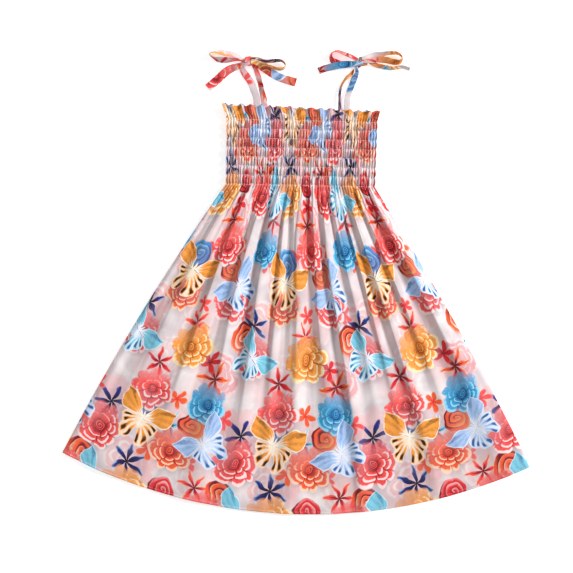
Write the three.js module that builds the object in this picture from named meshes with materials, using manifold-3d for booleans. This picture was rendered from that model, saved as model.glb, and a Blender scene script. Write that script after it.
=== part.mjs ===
import * as THREE from "three";
import { mergeVertices } from "three/addons/utils/BufferGeometryUtils.js";
import Module from "manifold-3d";

// Toddler sundress laid flat on its back, in millimetres: +Z up, the neck toward +Y, the front
// facing +Z. The origin is on the surface under the middle of the dress. Front and back are
// one piece each, from the ruffled top edge to the hem, and two tied bows hold the straps.

// Walls of cloth and the gap at seams
const skirtWall = 2.0;
const foldedWall = 2.2;
const shirredBackWall = 3.0;
const shirredFrontWall = 1.2;
const ruffleWall = 1.5;
const seamGap = 0.3;

// Shirring: elastic rows and the fine gathers between them
const elasticRows = 8;
const gathers = 56;
const gatherHeight = 2.6;
const pinchedShare = 0.35;
const gatherFade = 0.038;
const tierDrift = [0, 0.5, -0.4, 0.6, -0.5, 0.3, -0.6];

// Ruffle above the first elastic row
const ruffleLobes = 16;
const lobePhase = 0.489;
const frontRuffleRise = 3.3;
const frontLobe = 2.0;
const backLobe = 0.5;
const scallop = 0.8;

// Level outline of the top: middle, half width and tilt in degrees of each section
const topSections = {
  edge: { x: 5.9, y: 225.6, half: 102.8, tilt: -2.9 },
  firstElastic: { x: 7.1, y: 209.3, half: 97.5, tilt: -1.3 },
  waist: { x: 4.9, y: 125.4, half: 96.5, tilt: -1.2 },
};

// Hem: an arc about a centre above the skirt, and how far the side seams bow out
const hem = { x: 18.9, y: 388.7, radius: 690.3, middle: -1.75, half: 26.15 };
const leftBow = 8;
const rightBow = 6.5;

// Skirt sections: share of the way down, and how far the folds swell there
const skirtSections = [
  { down: 0, swell: 0.25, round: 1.0 },
  { down: 0.06, swell: 0.62, round: 1.0 },
  { down: 0.13, swell: 0.9, round: 1.0 },
  { down: 0.22, swell: 1.0, round: 1.1 },
  { down: 0.34, swell: 1.0, round: 1.2 },
  { down: 0.47, swell: 0.97, round: 1.3 },
  { down: 0.6, swell: 0.88, round: 1.4 },
  { down: 0.73, swell: 0.72, round: 1.6 },
  { down: 0.87, swell: 0.52, round: 1.8 },
  { down: 1, swell: 0.38, round: 2.0 },
];

// Folds of the skirt, side seam to side seam: where each one starts across the panel, the
// height of the valley there, where its crest lies and how high the crest stands
const folds = [
  { start: -1, valley: 0, crest: -0.968, height: 3.6 },
  { start: -0.94, valley: 0.4, crest: -0.83, height: 8.2 },
  { start: -0.7, valley: 1.2, crest: -0.63, height: 8.4 },
  { start: -0.54, valley: 0.8, crest: -0.43, height: 9.6 },
  { start: -0.35, valley: 0, crest: -0.28, height: 10 },
  { start: -0.18, valley: 0, crest: -0.147, height: 5.2 },
  { start: -0.11, valley: 1.4, crest: 0.0, height: 9.4 },
  { start: 0.07, valley: 1.8, crest: 0.165, height: 8.8 },
  { start: 0.235, valley: 0, crest: 0.28, height: 9.6 },
  { start: 0.35, valley: 1.4, crest: 0.41, height: 7.4 },
  { start: 0.47, valley: 1.2, crest: 0.515, height: 6.2 },
  { start: 0.56, valley: 0.6, crest: 0.62, height: 8.6 },
  { start: 0.7, valley: 1.0, crest: 0.755, height: 6.6 },
  { start: 0.8, valley: 0, crest: 0.9, height: 8.6 },
];
const foldsEnd = 1;
const backGrooveShare = 0.45;

// Ties: thickness of the folded strip, the steps of a strand and the sizes of a knot
const tieWidth = 11;
const tieThickness = 1.2;
const strandSteps = 14;
const loopSteps = 26;
const knot = { halfLength: 5.5, halfWide: 5.4, halfTall: 3.9, wall: 1.4, rise: 4.2, corners: 12 };
const core = { halfLength: 8.5, halfWide: 3.6, halfTall: 2.1, corners: 10 };
const leftKnot = { x: -61.8, y: 286.7 };
const rightKnot = { x: 86.5, y: 286.7 };

const colours = { cloth: 0xe9cfc4, coral: 0xdf6a58, amber: 0xe39a5a, blue: 0x86a9cf, rose: 0xd9897c };

const radians = THREE.MathUtils.degToRad;
const mix = THREE.MathUtils.lerp;
const library = await Module();
library.setup();

function betweenSections(upper, lower, share) {
  return {
    x: mix(upper.x, lower.x, share),
    y: mix(upper.y, lower.y, share),
    half: mix(upper.half, lower.half, share),
    tilt: mix(upper.tilt, lower.tilt, share),
  };
}

function acrossSection(section, across) {
  const tilt = radians(section.tilt);
  return [
    section.x + section.half * across * Math.cos(tilt),
    section.y + section.half * across * Math.sin(tilt),
  ];
}

// A place on the skirt, from the last elastic row to the hem
function skirtPlace(across, down) {
  const waist = acrossSection(topSections.waist, across);
  const angle = radians(hem.middle + hem.half * across);
  const hemX = hem.x + hem.radius * Math.sin(angle);
  const hemY = hem.y - hem.radius * Math.cos(angle);
  const bow = (across < 0 ? leftBow : rightBow) * across * 4 * down * (1 - down);
  return [mix(waist[0], hemX, down) + bow, mix(waist[1], hemY, down)];
}

// A value of the skirt's section table at any share of the way down
function skirtValue(name, down) {
  const after = skirtSections.findIndex((section) => section.down >= down);
  if (after <= 0) {
    return skirtSections[0][name];
  }
  const upper = skirtSections[after - 1];
  const lower = skirtSections[after];
  return mix(upper[name], lower[name], (down - upper.down) / (lower.down - upper.down));
}

// The height of the folds above their flat base: sharp valleys and round crests near the
// waist, softening to an even wave at the hem
function foldHeight(across, down) {
  let index = folds.length - 1;
  while (index > 0 && folds[index].start > across) {
    index -= 1;
  }
  const fold = folds[index];
  const next = folds[index + 1] ?? { start: foldsEnd, valley: 0 };
  const rising = across < fold.crest;
  const foot = rising ? fold.start : next.start;
  const valley = rising ? fold.valley : next.valley;
  const climb = Math.sin((Math.PI / 2) * Math.abs((across - foot) / (fold.crest - foot)));
  const round = skirtValue("round", down);
  return skirtValue("swell", down) * (valley + (fold.height - valley) * climb ** round);
}

// Places across the panel where the skirt has columns: every valley, crest and half-way point
function skirtColumns() {
  const columns = [];
  folds.forEach((fold, index) => {
    const end = folds[index + 1]?.start ?? foldsEnd;
    columns.push({ across: fold.start, crest: false });
    columns.push({ across: (fold.start + fold.crest) / 2, crest: false });
    columns.push({ across: fold.crest, crest: true });
    columns.push({ across: (fold.crest + end) / 2, crest: false });
  });
  columns.push({ across: foldsEnd, crest: false });
  return columns;
}

function evenColumns(count) {
  return Array.from({ length: count + 1 }, (unused, index) => ({ across: (2 * index) / count - 1 }));
}

// A wall of cloth that grows row by row: the outer rows, then the inner rows, both from the
// top edge down, closed by its rims
class ClothWall {
  constructor() {
    this.places = [];
    this.faces = [];
  }

  row(columns, placeOf) {
    const ids = columns.map((column, index) => {
      this.places.push(placeOf(column, index));
      return this.places.length - 1;
    });
    return { ids, along: columns.map((column) => (column.across + 1) / 2) };
  }

  // Faces between two rows whose columns may differ in number
  join(upper, lower, flipped = false) {
    let i = 0;
    let j = 0;
    const lastUpper = upper.ids.length - 1;
    const lastLower = lower.ids.length - 1;
    while (i < lastUpper || j < lastLower) {
      const stepUpper = i < lastUpper && (j === lastLower || upper.along[i + 1] <= lower.along[j + 1]);
      const corner = stepUpper ? upper.ids[i + 1] : lower.ids[j + 1];
      const face = [upper.ids[i], lower.ids[j], corner];
      this.faces.push(flipped ? face.reverse() : face);
      i += stepUpper ? 1 : 0;
      j += stepUpper ? 0 : 1;
    }
  }

  side(rows, end) {
    const ids = rows.map((row) => row.ids.at(end));
    const top = this.places[ids[0]][1];
    const bottom = this.places[ids.at(-1)][1];
    return { ids, along: ids.map((id) => (top - this.places[id][1]) / (top - bottom)) };
  }

  close(outer, inner) {
    for (let index = 1; index < outer.length; index += 1) {
      this.join(outer[index - 1], outer[index]);
    }
    for (let index = 1; index < inner.length; index += 1) {
      this.join(inner[index - 1], inner[index], true);
    }
    this.join(outer[0], inner[0], true);
    this.join(outer.at(-1), inner.at(-1));
    this.join(this.side(outer, 0), this.side(inner, 0));
    this.join(this.side(outer, -1), this.side(inner, -1), true);
  }

  geometry() {
    const shape = new THREE.BufferGeometry();
    shape.setAttribute("position", new THREE.Float32BufferAttribute(this.places.flat(), 3));
    shape.setIndex(this.faces.flat());
    shape.computeVertexNormals();
    return shape;
  }
}

// How far a level of the skirt has come down from the thick shirred top to the plain skirt
function settled(down) {
  return Math.min(1, down / skirtSections[1].down);
}

function backTopHeight(down) {
  return mix(shirredBackWall, skirtWall, settled(down));
}

function frontUnderHeight(across, down) {
  return backTopHeight(down) + seamGap + foldHeight(across, down);
}

function lobeWave(across) {
  return Math.cos(Math.PI * ruffleLobes * (across - lobePhase));
}

// The ruffle stands up from the first elastic row to its free edge
function ruffleRise(share) {
  return Math.sin((Math.PI / 2) * share);
}

function rufflePlace(across, share) {
  const section = betweenSections(topSections.firstElastic, topSections.edge, share);
  const [x, y] = acrossSection(section, across);
  return [x, y + scallop * share * lobeWave(across)];
}

function bodicePlace(across, share) {
  return acrossSection(betweenSections(topSections.firstElastic, topSections.waist, share), across);
}

// One fine gather in two columns: a valley, then a peak of slightly uneven height
function gatherRelief(index) {
  const uneven = 0.88 + 0.12 * Math.sin(index * 1.7) * Math.cos(index * 0.43);
  return index % 2 === 0 || index === 2 * gathers ? 0 : gatherHeight * uneven;
}

function frontPanel() {
  const wall = new ClothWall();
  const fine = evenColumns(2 * gathers);
  const wide = skirtColumns();
  const outer = [];
  const inner = [];

  const ruffleShares = [1, 0.66, 0.3];
  const rowHeight = shirredBackWall + seamGap;
  for (const share of ruffleShares) {
    const lifted = (across) => frontRuffleRise + frontLobe * lobeWave(across);
    const under = (across) => rowHeight + ruffleRise(share) * lifted(across);
    const over = (across) => under(across) + ruffleWall;
    inner.push(wall.row(fine, ({ across }) => [...rufflePlace(across, share), under(across)]));
    outer.push(wall.row(fine, ({ across }) => [...rufflePlace(across, share), over(across)]));
  }

  const tiers = elasticRows - 1;
  for (let half = 0; half <= 2 * tiers; half += 1) {
    const onElastic = half % 2 === 0;
    const relief = onElastic ? pinchedShare : 1;
    const drift = onElastic ? 0 : tierDrift[(half - 1) / 2] / topSections.waist.half;
    outer.push(
      wall.row(fine, ({ across }, index) => {
        const moved = across + drift * (1 - across * across);
        const height = rowHeight + shirredFrontWall + relief * gatherRelief(index);
        return [...bodicePlace(moved, half / (2 * tiers)), height];
      }),
    );
  }
  for (const share of [0, 0.5, 1]) {
    const height = (across) => (share < 1 ? rowHeight : frontUnderHeight(across, 0));
    inner.push(wall.row(wide, ({ across }) => [...bodicePlace(across, share), height(across)]));
  }

  // The gathers run out below the last elastic row
  for (const share of [0.35, 0.75]) {
    const down = gatherFade * share;
    const relief = 0.8 * (1 - share);
    outer.push(
      wall.row(fine, ({ across }, index) => {
        const cloth = mix(shirredFrontWall, foldedWall, settled(down));
        const height = frontUnderHeight(across, down) + cloth + relief * gatherRelief(index);
        return [...skirtPlace(across, down), height];
      }),
    );
  }
  for (const { down } of skirtSections.slice(1)) {
    const under = ({ across }) => [...skirtPlace(across, down), frontUnderHeight(across, down)];
    const over = ({ across }) => [...skirtPlace(across, down), frontUnderHeight(across, down) + foldedWall];
    inner.push(wall.row(wide, under));
    outer.push(wall.row(wide, over));
  }
  wall.close(outer, inner);
  return wall.geometry();
}

// The back lies under the front. Its underside rests on the surface between shallow grooves
// that stand up inside the front's folds.
function backPanel() {
  const wall = new ClothWall();
  const lobed = evenColumns(4 * ruffleLobes);
  const wide = skirtColumns();
  const outer = [];
  const inner = [];
  for (const share of [1, 0.5]) {
    const under = (across) => share * backLobe * (1 - lobeWave(across));
    inner.push(wall.row(lobed, ({ across }) => [...rufflePlace(across, share), under(across)]));
    const over = (across) => under(across) + mix(shirredBackWall, ruffleWall, share);
    outer.push(wall.row(lobed, ({ across }) => [...rufflePlace(across, share), over(across)]));
  }
  for (const share of [0, 0.5]) {
    inner.push(wall.row(wide, ({ across }) => [...bodicePlace(across, share), 0]));
    outer.push(wall.row(wide, ({ across }) => [...bodicePlace(across, share), shirredBackWall]));
  }
  for (const { down } of skirtSections) {
    const groove = (column) => {
      const share = column.crest ? backGrooveShare * settled(down) : 0;
      return share * foldHeight(column.across, down);
    };
    inner.push(wall.row(wide, (column) => [...skirtPlace(column.across, down), groove(column)]));
    const over = (column) => groove(column) + backTopHeight(down);
    outer.push(wall.row(wide, (column) => [...skirtPlace(column.across, down), over(column)]));
  }
  wall.close(outer, inner);
  return wall.geometry();
}

// A smooth value at any share along a table of rows, through every row
function alongRows(rows, name, share) {
  const place = share * (rows.length - 1);
  const index = Math.min(Math.floor(place), rows.length - 2);
  const value = (at) => rows[Math.min(Math.max(at, 0), rows.length - 1)][name];
  const t = place - index;
  const [a, b, c, d] = [value(index - 1), value(index), value(index + 1), value(index + 2)];
  const curve = (2 * a - 5 * b + 4 * c - d) * t * t + (3 * b - a - 3 * c + d) * t * t * t;
  return b + 0.5 * ((c - a) * t + curve);
}

function closedSolid(rings) {
  const sides = rings[0].length;
  const places = rings.flat();
  const faces = [];
  for (let ring = 1; ring < rings.length; ring += 1) {
    for (let side = 0; side < sides; side += 1) {
      const next = (side + 1) % sides;
      const [a, b] = [(ring - 1) * sides + side, (ring - 1) * sides + next];
      const [c, d] = [ring * sides + next, ring * sides + side];
      faces.push([a, b, c], [a, c, d]);
    }
  }
  const last = (rings.length - 1) * sides;
  for (let side = 1; side < sides - 1; side += 1) {
    faces.push([0, side + 1, side], [last, last + side, last + side + 1]);
  }
  return solidFrom(places, faces);
}

function solidFrom(places, faces) {
  const vertProperties = Float32Array.from(places.flat());
  const triVerts = Uint32Array.from(faces.flat());
  const solid = new library.Manifold(new library.Mesh({ numProp: 3, vertProperties, triVerts }));
  if (solid.volume() > 0) {
    return solid;
  }
  const turned = Uint32Array.from(faces.map((face) => [...face].reverse()).flat());
  return new library.Manifold(new library.Mesh({ numProp: 3, vertProperties, triVerts: turned }));
}

// A strand of the flat folded tie. Each row of its table is a place on its route: x and y, the
// height of its lowest edge, how far it is turned on edge in degrees, and its width there.
function strandRings(rows, steps) {
  const rings = [];
  for (let step = 0; step <= steps; step += 1) {
    const share = step / steps;
    const at = (name, where = share) => alongRows(rows, name, Math.min(Math.max(where, 0), 1));
    const turn = radians(at("turn"));
    const half = { wide: at("width") / 2, thick: tieThickness / 2 };
    const reach = half.wide * Math.abs(Math.sin(turn)) + half.thick * Math.abs(Math.cos(turn));
    const centre = new THREE.Vector3(at("x"), at("y"), at("lift") + reach);
    const nudge = 0.02;
    const ahead = new THREE.Vector3(at("x", share + nudge), at("y", share + nudge), 0);
    const behind = new THREE.Vector3(at("x", share - nudge), at("y", share - nudge), 0);
    const along = ahead.sub(behind).normalize();
    const sideways = new THREE.Vector3(-along.y, along.x, 0);
    const widthways = sideways.clone().multiplyScalar(Math.cos(turn));
    widthways.z = Math.sin(turn);
    const outwards = sideways.clone().multiplyScalar(-Math.sin(turn));
    outwards.z = Math.cos(turn);
    const corners = [[1, 1], [-1, 1], [-1, -1], [1, -1]];
    rings.push(
      corners.map(([wide, thick]) =>
        centre
          .clone()
          .addScaledVector(widthways, wide * half.wide)
          .addScaledVector(outwards, thick * half.thick)
          .toArray(),
      ),
    );
  }
  return rings;
}

function strand(rows) {
  return closedSolid(strandRings(rows, strandSteps));
}

// A loop comes back to its knot over its own start, so its two halves are joined as two solids
function loopStrand(rows) {
  const rings = strandRings(rows, loopSteps);
  const middle = loopSteps / 2;
  return closedSolid(rings.slice(0, middle + 1)).add(closedSolid(rings.slice(middle)));
}

function ovalRing(x, y, height, halfWide, halfTall, corners) {
  return Array.from({ length: corners }, (unused, index) => {
    const angle = (2 * Math.PI * (index + 0.5)) / corners;
    return [x, y + halfWide * Math.cos(angle), height + halfTall * Math.sin(angle)];
  });
}

// The gathered cloth inside a knot, with blunt tapered ends
function knotCore(place) {
  const sections = [
    { along: -1, size: 0.6 },
    { along: -0.85, size: 1 },
    { along: 0.85, size: 1 },
    { along: 1, size: 0.6 },
  ];
  return closedSolid(
    sections.map(({ along, size }) => {
      const x = place.x + along * core.halfLength;
      return ovalRing(x, place.y, knot.rise, core.halfWide * size, core.halfTall * size, core.corners);
    }),
  );
}

// The turn of tie that wraps the knot: a crowned band open at both ends
function knotWrap(place) {
  const sections = [
    { along: -1, out: 0 },
    { along: -0.6, out: 0.5 },
    { along: 0.6, out: 0.5 },
    { along: 1, out: 0 },
  ];
  const outer = sections.map(({ along, out }) => {
    const x = place.x + along * knot.halfLength;
    return ovalRing(x, place.y, knot.rise, knot.halfWide + out, knot.halfTall - 0.5 + out, knot.corners);
  });
  const bore = [-1.2, 1.2].map((along) => {
    const x = place.x + along * knot.halfLength;
    const halfWide = knot.halfWide - knot.wall;
    return ovalRing(x, place.y, knot.rise, halfWide, knot.halfTall - knot.wall, knot.corners);
  });
  return closedSolid(outer).subtract(closedSolid(bore));
}

function tieGeometry(solids) {
  const joined = solids.reduce((whole, solid) => whole.add(solid));
  const mesh = joined.getMesh();
  const shape = new THREE.BufferGeometry();
  shape.setAttribute("position", new THREE.BufferAttribute(Float32Array.from(mesh.vertProperties), 3));
  shape.setIndex(new THREE.BufferAttribute(Uint32Array.from(mesh.triVerts), 1));
  const merged = mergeVertices(shape);
  merged.computeVertexNormals();
  return merged;
}

function row(x, y, lift, turn, width) {
  return { x, y, lift, turn, width };
}

// Left bow, back tie: its strap, the left loop, the core of the knot and the right free end
const leftBackRoot = [
  row(-69.6, 285.8, 3.2, 0, 3.4),
  row(-72.2, 280.6, 1.6, 0, 6),
  row(-67.4, 271.4, 0.6, 0, 9),
  row(-59.5, 260.0, 0.6, 0, 9.5),
  row(-55.6, 250.5, 1.0, 0, 9.5),
  row(-52.0, 240.1, 2.2, 0, 9.3),
  row(-51.2, 232.7, 2.8, 0, 9.2),
  row(-51.1, 223.0, 2.8, 0, 9.0),
];
const leftBackLoop = [
  row(-69.2, 288.4, 3.0, 30, 3.4),
  row(-78.7, 294.6, 0.8, 60, 9),
  row(-91.0, 297.3, 0.6, 66, tieWidth),
  row(-100.8, 299.4, 0.5, 72, tieWidth),
  row(-110.5, 298.6, 0.5, 85, tieWidth),
  row(-112.6, 295.4, 0.5, 90, tieWidth),
  row(-108.2, 291.4, 0.6, 84, tieWidth),
  row(-101.4, 288.9, 0.8, 78, tieWidth),
  row(-91.0, 288.3, 1.0, 74, 10),
  row(-78.7, 289.0, 1.6, 74, 7),
  row(-69.0, 287.6, 3.0, 70, 3),
];
const leftBackEnd = [
  row(-54.2, 286.0, 3.2, 0, 4),
  row(-49.4, 281.0, 2.1, 0, 6.6),
  row(-43.0, 277.4, 1.7, 0, 9.2),
  row(-36.7, 274.2, 0.8, 0, 10.4),
  row(-29.3, 269.6, 0.3, 0, 10.6),
  row(-21.5, 265.9, 0.2, 0, 10.8),
  row(-11.8, 262.6, 0.2, 0, tieWidth),
  row(-0.7, 259.4, 0.2, 0, tieWidth),
];

// Left bow, front tie: its strap, the wrap of the knot, the right loop and the left free end
const leftFrontRoot = [
  row(-58.6, 286.0, 0.15, 0, 3.6),
  row(-54.2, 278.4, 0.15, 0, 5.5),
  row(-50.2, 268.8, 0.2, 2, 7),
  row(-47.1, 258.2, 0.6, 36, 8),
  row(-45.2, 248.7, 1.0, 30, 8),
  row(-42.6, 238.6, 2.4, 8, 8),
  row(-41.6, 231.6, 2.8, 0, 8),
  row(-41.4, 223.0, 2.8, 0, 8),
];
const leftFrontLoop = [
  row(-58.6, 288.8, 7.1, 10, 4.6),
  row(-52.7, 288.6, 7.2, 18, 7),
  row(-44.0, 286.4, 5.0, 50, 9),
  row(-36.7, 286.0, 3.4, 66, 10),
  row(-27.0, 287.0, 2.2, 74, tieWidth),
  row(-19.0, 286.6, 1.8, 82, tieWidth),
  row(-14.4, 281.6, 1.8, 90, tieWidth),
  row(-17.0, 276.8, 1.8, 100, tieWidth),
  row(-25.0, 276.6, 2.0, 106, tieWidth),
  row(-36.7, 279.8, 3.2, 108, 10),
  row(-46.0, 282.4, 5.4, 130, 8),
  row(-53.0, 284.6, 7.3, 170, 6.4),
  row(-59.3, 284.8, 7.15, 176, 4.8),
];
const leftFrontEnd = [
  row(-60.4, 284.4, 7.2, 0, 5),
  row(-67.6, 282.0, 7.0, 0, 5.4),
  row(-76.0, 279.8, 4.4, 0, 8.2),
  row(-84.9, 277.0, 2.0, 0, 10.6),
  row(-93.0, 271.8, 0.8, 0, tieWidth),
  row(-102.1, 263.4, 0.3, 0, tieWidth),
  row(-108.6, 257.8, 0.2, 0, tieWidth),
  row(-115.1, 252.2, 0.2, 0, tieWidth),
];

// Right bow, back tie: its strap, the left loop, the core of the knot and the right free end
const rightBackRoot = [
  row(78.8, 285.4, 3.2, 0, 3.6),
  row(77.6, 278.4, 2.0, 0, 5.4),
  row(77.4, 271.4, 2.0, 0, 7.2),
  row(75.0, 263.9, 1.3, 6, 8),
  row(71.4, 254.4, 0.6, 15, 8),
  row(67.9, 244.8, 1.4, 10, 8),
  row(66.4, 237.3, 2.6, 0, 7.9),
  row(65.3, 222.0, 2.6, 0, 7.9),
];
const rightBackLoop = [
  row(79.2, 288.4, 3.0, 20, 3.4),
  row(70.9, 292.7, 1.4, 50, 8),
  row(60.5, 297.0, 0.8, 64, 10),
  row(52.7, 299.6, 0.6, 74, tieWidth),
  row(46.6, 297.6, 0.5, 84, tieWidth),
  row(44.6, 292.5, 0.5, 70, 10.5),
  row(46.8, 287.6, 0.4, 40, 9),
  row(54.0, 284.6, 0.3, 8, 8),
  row(64.4, 283.0, 0.3, 0, 7),
  row(72.6, 284.4, 1.2, 0, 5),
  row(78.9, 286.4, 3.2, 0, 3.4),
];
const rightBackEnd = [
  row(94.0, 286.2, 3.2, 0, 4),
  row(101.0, 282.4, 1.4, 6, 5.6),
  row(112.8, 279.4, 0.4, 34, 6.6),
  row(125.5, 277.4, 0.3, 62, 7),
  row(136.8, 279.4, 0.3, 60, 7),
  row(147.2, 276.3, 0.3, 55, 7),
];

// Right bow, front tie: its strap, the wrap of the knot, the right loop and the left free end
const rightFrontRoot = [
  row(85.4, 283.8, 0.1, 0, 4),
  row(78.6, 278.2, 0.1, 0, 4),
  row(71.2, 270.6, 0.1, 4, 4.4),
  row(63.6, 262.9, 0.3, 62, 5.5),
  row(58.5, 254.3, 0.5, 68, 5.5),
  row(56.4, 244.7, 1.0, 64, 5.5),
  row(56.2, 233.4, 1.8, 58, 5.5),
  row(56.4, 222.4, 2.1, 10, 5.5),
];
const rightFrontLoop = [
  row(84.3, 289.2, 7.1, 8, 4.6),
  row(91.0, 291.4, 7.3, 14, 6.6),
  row(99.0, 294.0, 5.4, 34, 8),
  row(108.2, 295.2, 3.2, 56, 9.5),
  row(122.5, 297.0, 2.2, 70, tieWidth),
  row(132.0, 296.0, 1.8, 80, tieWidth),
  row(137.2, 290.6, 1.6, 94, tieWidth),
  row(133.8, 285.4, 1.6, 112, tieWidth),
  row(126.6, 285.4, 1.8, 124, tieWidth),
  row(116.0, 287.8, 2.6, 134, tieWidth),
  row(105.0, 288.4, 4.6, 150, 9),
  row(93.6, 286.6, 7.3, 172, 6.4),
  row(84.7, 286.2, 7.15, 178, 4.8),
];
const rightFrontEnd = [
  row(86.0, 285.0, 7.2, 0, 5),
  row(79.8, 283.0, 7.2, 0, 6),
  row(71.0, 282.4, 5.2, 0, 8),
  row(63.3, 282.4, 3.2, 0, 9.1),
  row(52.0, 280.6, 4.0, 0, 9.1),
  row(42.0, 278.6, 1.8, 0, 9.1),
  row(36.7, 277.4, 0.4, 0, 9.1),
  row(29.0, 274.3, 0.2, 0, 9.1),
];

function coreTie(place, root, loop, end) {
  return tieGeometry([knotCore(place), strand(root), loopStrand(loop), strand(end)]);
}

function wrapTie(place, root, loop, end) {
  return tieGeometry([knotWrap(place), strand(root), loopStrand(loop), strand(end)]);
}

function piece(name, geometry, colour) {
  const material = new THREE.MeshStandardMaterial({ color: colour, roughness: 0.85, metalness: 0 });
  material.name = name;
  const mesh = new THREE.Mesh(geometry, material);
  mesh.name = name;
  return mesh;
}

const dress = new THREE.Group();
dress.add(
  piece("front_panel", frontPanel(), colours.cloth),
  piece("back_panel", backPanel(), colours.cloth),
  piece("tie_left_back", coreTie(leftKnot, leftBackRoot, leftBackLoop, leftBackEnd), colours.coral),
  piece("tie_left_front", wrapTie(leftKnot, leftFrontRoot, leftFrontLoop, leftFrontEnd), colours.rose),
  piece("tie_right_back", coreTie(rightKnot, rightBackRoot, rightBackLoop, rightBackEnd), colours.amber),
  piece("tie_right_front", wrapTie(rightKnot, rightFrontRoot, rightFrontLoop, rightFrontEnd), colours.blue),
);

export default dress;
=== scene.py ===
import math

import bpy
import numpy as np
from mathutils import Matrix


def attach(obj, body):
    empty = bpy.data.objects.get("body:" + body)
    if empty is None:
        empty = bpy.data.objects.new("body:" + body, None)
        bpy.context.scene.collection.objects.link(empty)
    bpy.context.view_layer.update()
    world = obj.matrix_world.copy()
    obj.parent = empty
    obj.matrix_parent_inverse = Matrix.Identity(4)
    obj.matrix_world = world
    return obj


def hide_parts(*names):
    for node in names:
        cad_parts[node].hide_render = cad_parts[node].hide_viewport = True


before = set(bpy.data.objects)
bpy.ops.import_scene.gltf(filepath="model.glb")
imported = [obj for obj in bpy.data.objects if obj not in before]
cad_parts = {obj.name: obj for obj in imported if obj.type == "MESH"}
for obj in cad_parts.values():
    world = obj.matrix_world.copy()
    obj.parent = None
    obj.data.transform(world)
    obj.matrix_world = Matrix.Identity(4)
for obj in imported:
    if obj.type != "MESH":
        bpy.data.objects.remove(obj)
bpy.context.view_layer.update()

# The dress lies on its back: metres, +Z up, the neck toward +Y, the front facing +Z.
# Sizes below are in millimetres and are turned to metres where a mesh is made.
MM = 0.001

# Outline of the top: middle, half width and tilt in degrees of each section
EDGE = {"x": 5.9, "y": 225.6, "half": 102.8, "tilt": -2.9}
FIRST_ELASTIC = {"x": 7.1, "y": 209.3, "half": 97.5, "tilt": -1.3}
WAIST = {"x": 4.9, "y": 125.4, "half": 96.5, "tilt": -1.2}
RUFFLE_LENGTH = 16.3
BODICE_LENGTH = 83.9

# Hem arc and the bow of the side seams
HEM = {"x": 18.9, "y": 388.7, "radius": 690.3, "middle": -1.75, "half": 26.15}
LEFT_BOW, RIGHT_BOW = 8.0, 6.5
SKIRT_LENGTH = 427.0

# The line of hem stitches, above the edge, and the share of the skirt where the hem begins
HEM_STITCH = 3.0
HEM_FROM = 0.985

# The cut of one panel: widths of the cloth at the top edge, the last elastic row and the hem
CUT_TOP, CUT_WAIST, CUT_HEM = 470.0, 486.0, 625.0
CUT_LENGTH = 545.0

# Heights of the layers, as in the solids
CLOTH = 0.5
SEAM_GAP = 0.3
SHIRRED_BACK, SKIRT_BACK = 3.0, 2.0
SETTLED_AT = 0.06

# Shirring: tiers, gathers and ruffle lobes, columns of the mesh, and where in the ruffle its
# edge is stitched
TIERS = 7
GATHERS = 56
LOBES = 16
LOBE_PLACE = 0.489
FINE = 8 * GATHERS
COARSE = FINE // 2
EDGE_STITCH = 0.86

# Folds of the skirt, side seam to side seam: start, height of the valley there, crest, height
# of the crest, how far down the skirt it stays whole, the share of it that reaches the hem,
# and how sharply its left face drops from the crest
FOLDS = [
    (-1.0, 0.0, -0.968, 3.6, 0.35, 0.9, 0.2),
    (-0.94, 0.4, -0.83, 8.2, 0.4, 0.95, 0.6),
    (-0.7, 1.2, -0.63, 8.4, 0.45, 0.3, 1.0),
    (-0.54, 0.8, -0.43, 9.6, 0.4, 0.9, 0.9),
    (-0.35, 0.0, -0.28, 10.0, 0.3, 0.45, 1.0),
    (-0.18, 0.0, -0.147, 5.2, 0.25, 0.15, 0.4),
    (-0.11, 1.4, 0.0, 9.4, 0.45, 0.9, 0.7),
    (0.07, 1.8, 0.165, 8.8, 0.4, 0.35, 1.0),
    (0.235, 0.0, 0.28, 9.6, 0.4, 0.8, 0.9),
    (0.35, 1.4, 0.41, 7.4, 0.3, 0.2, 0.6),
    (0.47, 1.2, 0.515, 6.2, 0.3, 0.15, 1.0),
    (0.56, 0.6, 0.62, 8.6, 0.35, 0.95, 0.8),
    (0.7, 1.0, 0.755, 6.6, 0.3, 0.25, 0.5),
    (0.8, 0.0, 0.9, 8.6, 0.45, 0.75, 0.8),
]
SIDE_SEAM = (1.0, 0, 1.0, 0, 0.5, 1, 0)

# Down the skirt: how tall and how round the folds are, and how far they lean
SKIRT_DOWN = [0, 0.06, 0.13, 0.22, 0.34, 0.47, 0.6, 0.73, 0.87, 1]
SKIRT_SWELL = [0.25, 0.62, 0.9, 1.0, 1.0, 0.97, 0.88, 0.72, 0.52, 0.38]
SKIRT_ROUND = [1.0, 1.0, 1.0, 1.1, 1.2, 1.3, 1.4, 1.6, 1.8, 2.0]
LEAN_DOWN = [0, 0.08, 0.3, 0.6, 1]
LEAN_SHARE = [0.2, 0.9, 0.9, 0.55, 0.2]


def mix(a, b, share):
    return a + (b - a) * share


def ease(low, high, value):
    """0 below low, 1 above high, and smooth between them."""
    share = np.clip((value - low) / (high - low), 0, 1)
    return share * share * (3 - 2 * share)


def uneven(seed, value, waves=4, pace=1.0):
    """A smooth uneven wave between about -1 and 1, the same each run."""
    draw = np.random.default_rng(seed)
    total = np.zeros(np.shape(value))
    for wave in range(waves):
        rate = pace * (1 + wave * 0.83) * draw.uniform(0.8, 1.25)
        total = total + np.sin(rate * value + draw.uniform(0, 2 * math.pi)) / (1 + 0.5 * wave)
    return total / 2.0


def place_object(name, data):
    made = bpy.data.objects.new(name, data)
    bpy.context.scene.collection.objects.link(made)
    return made


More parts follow.
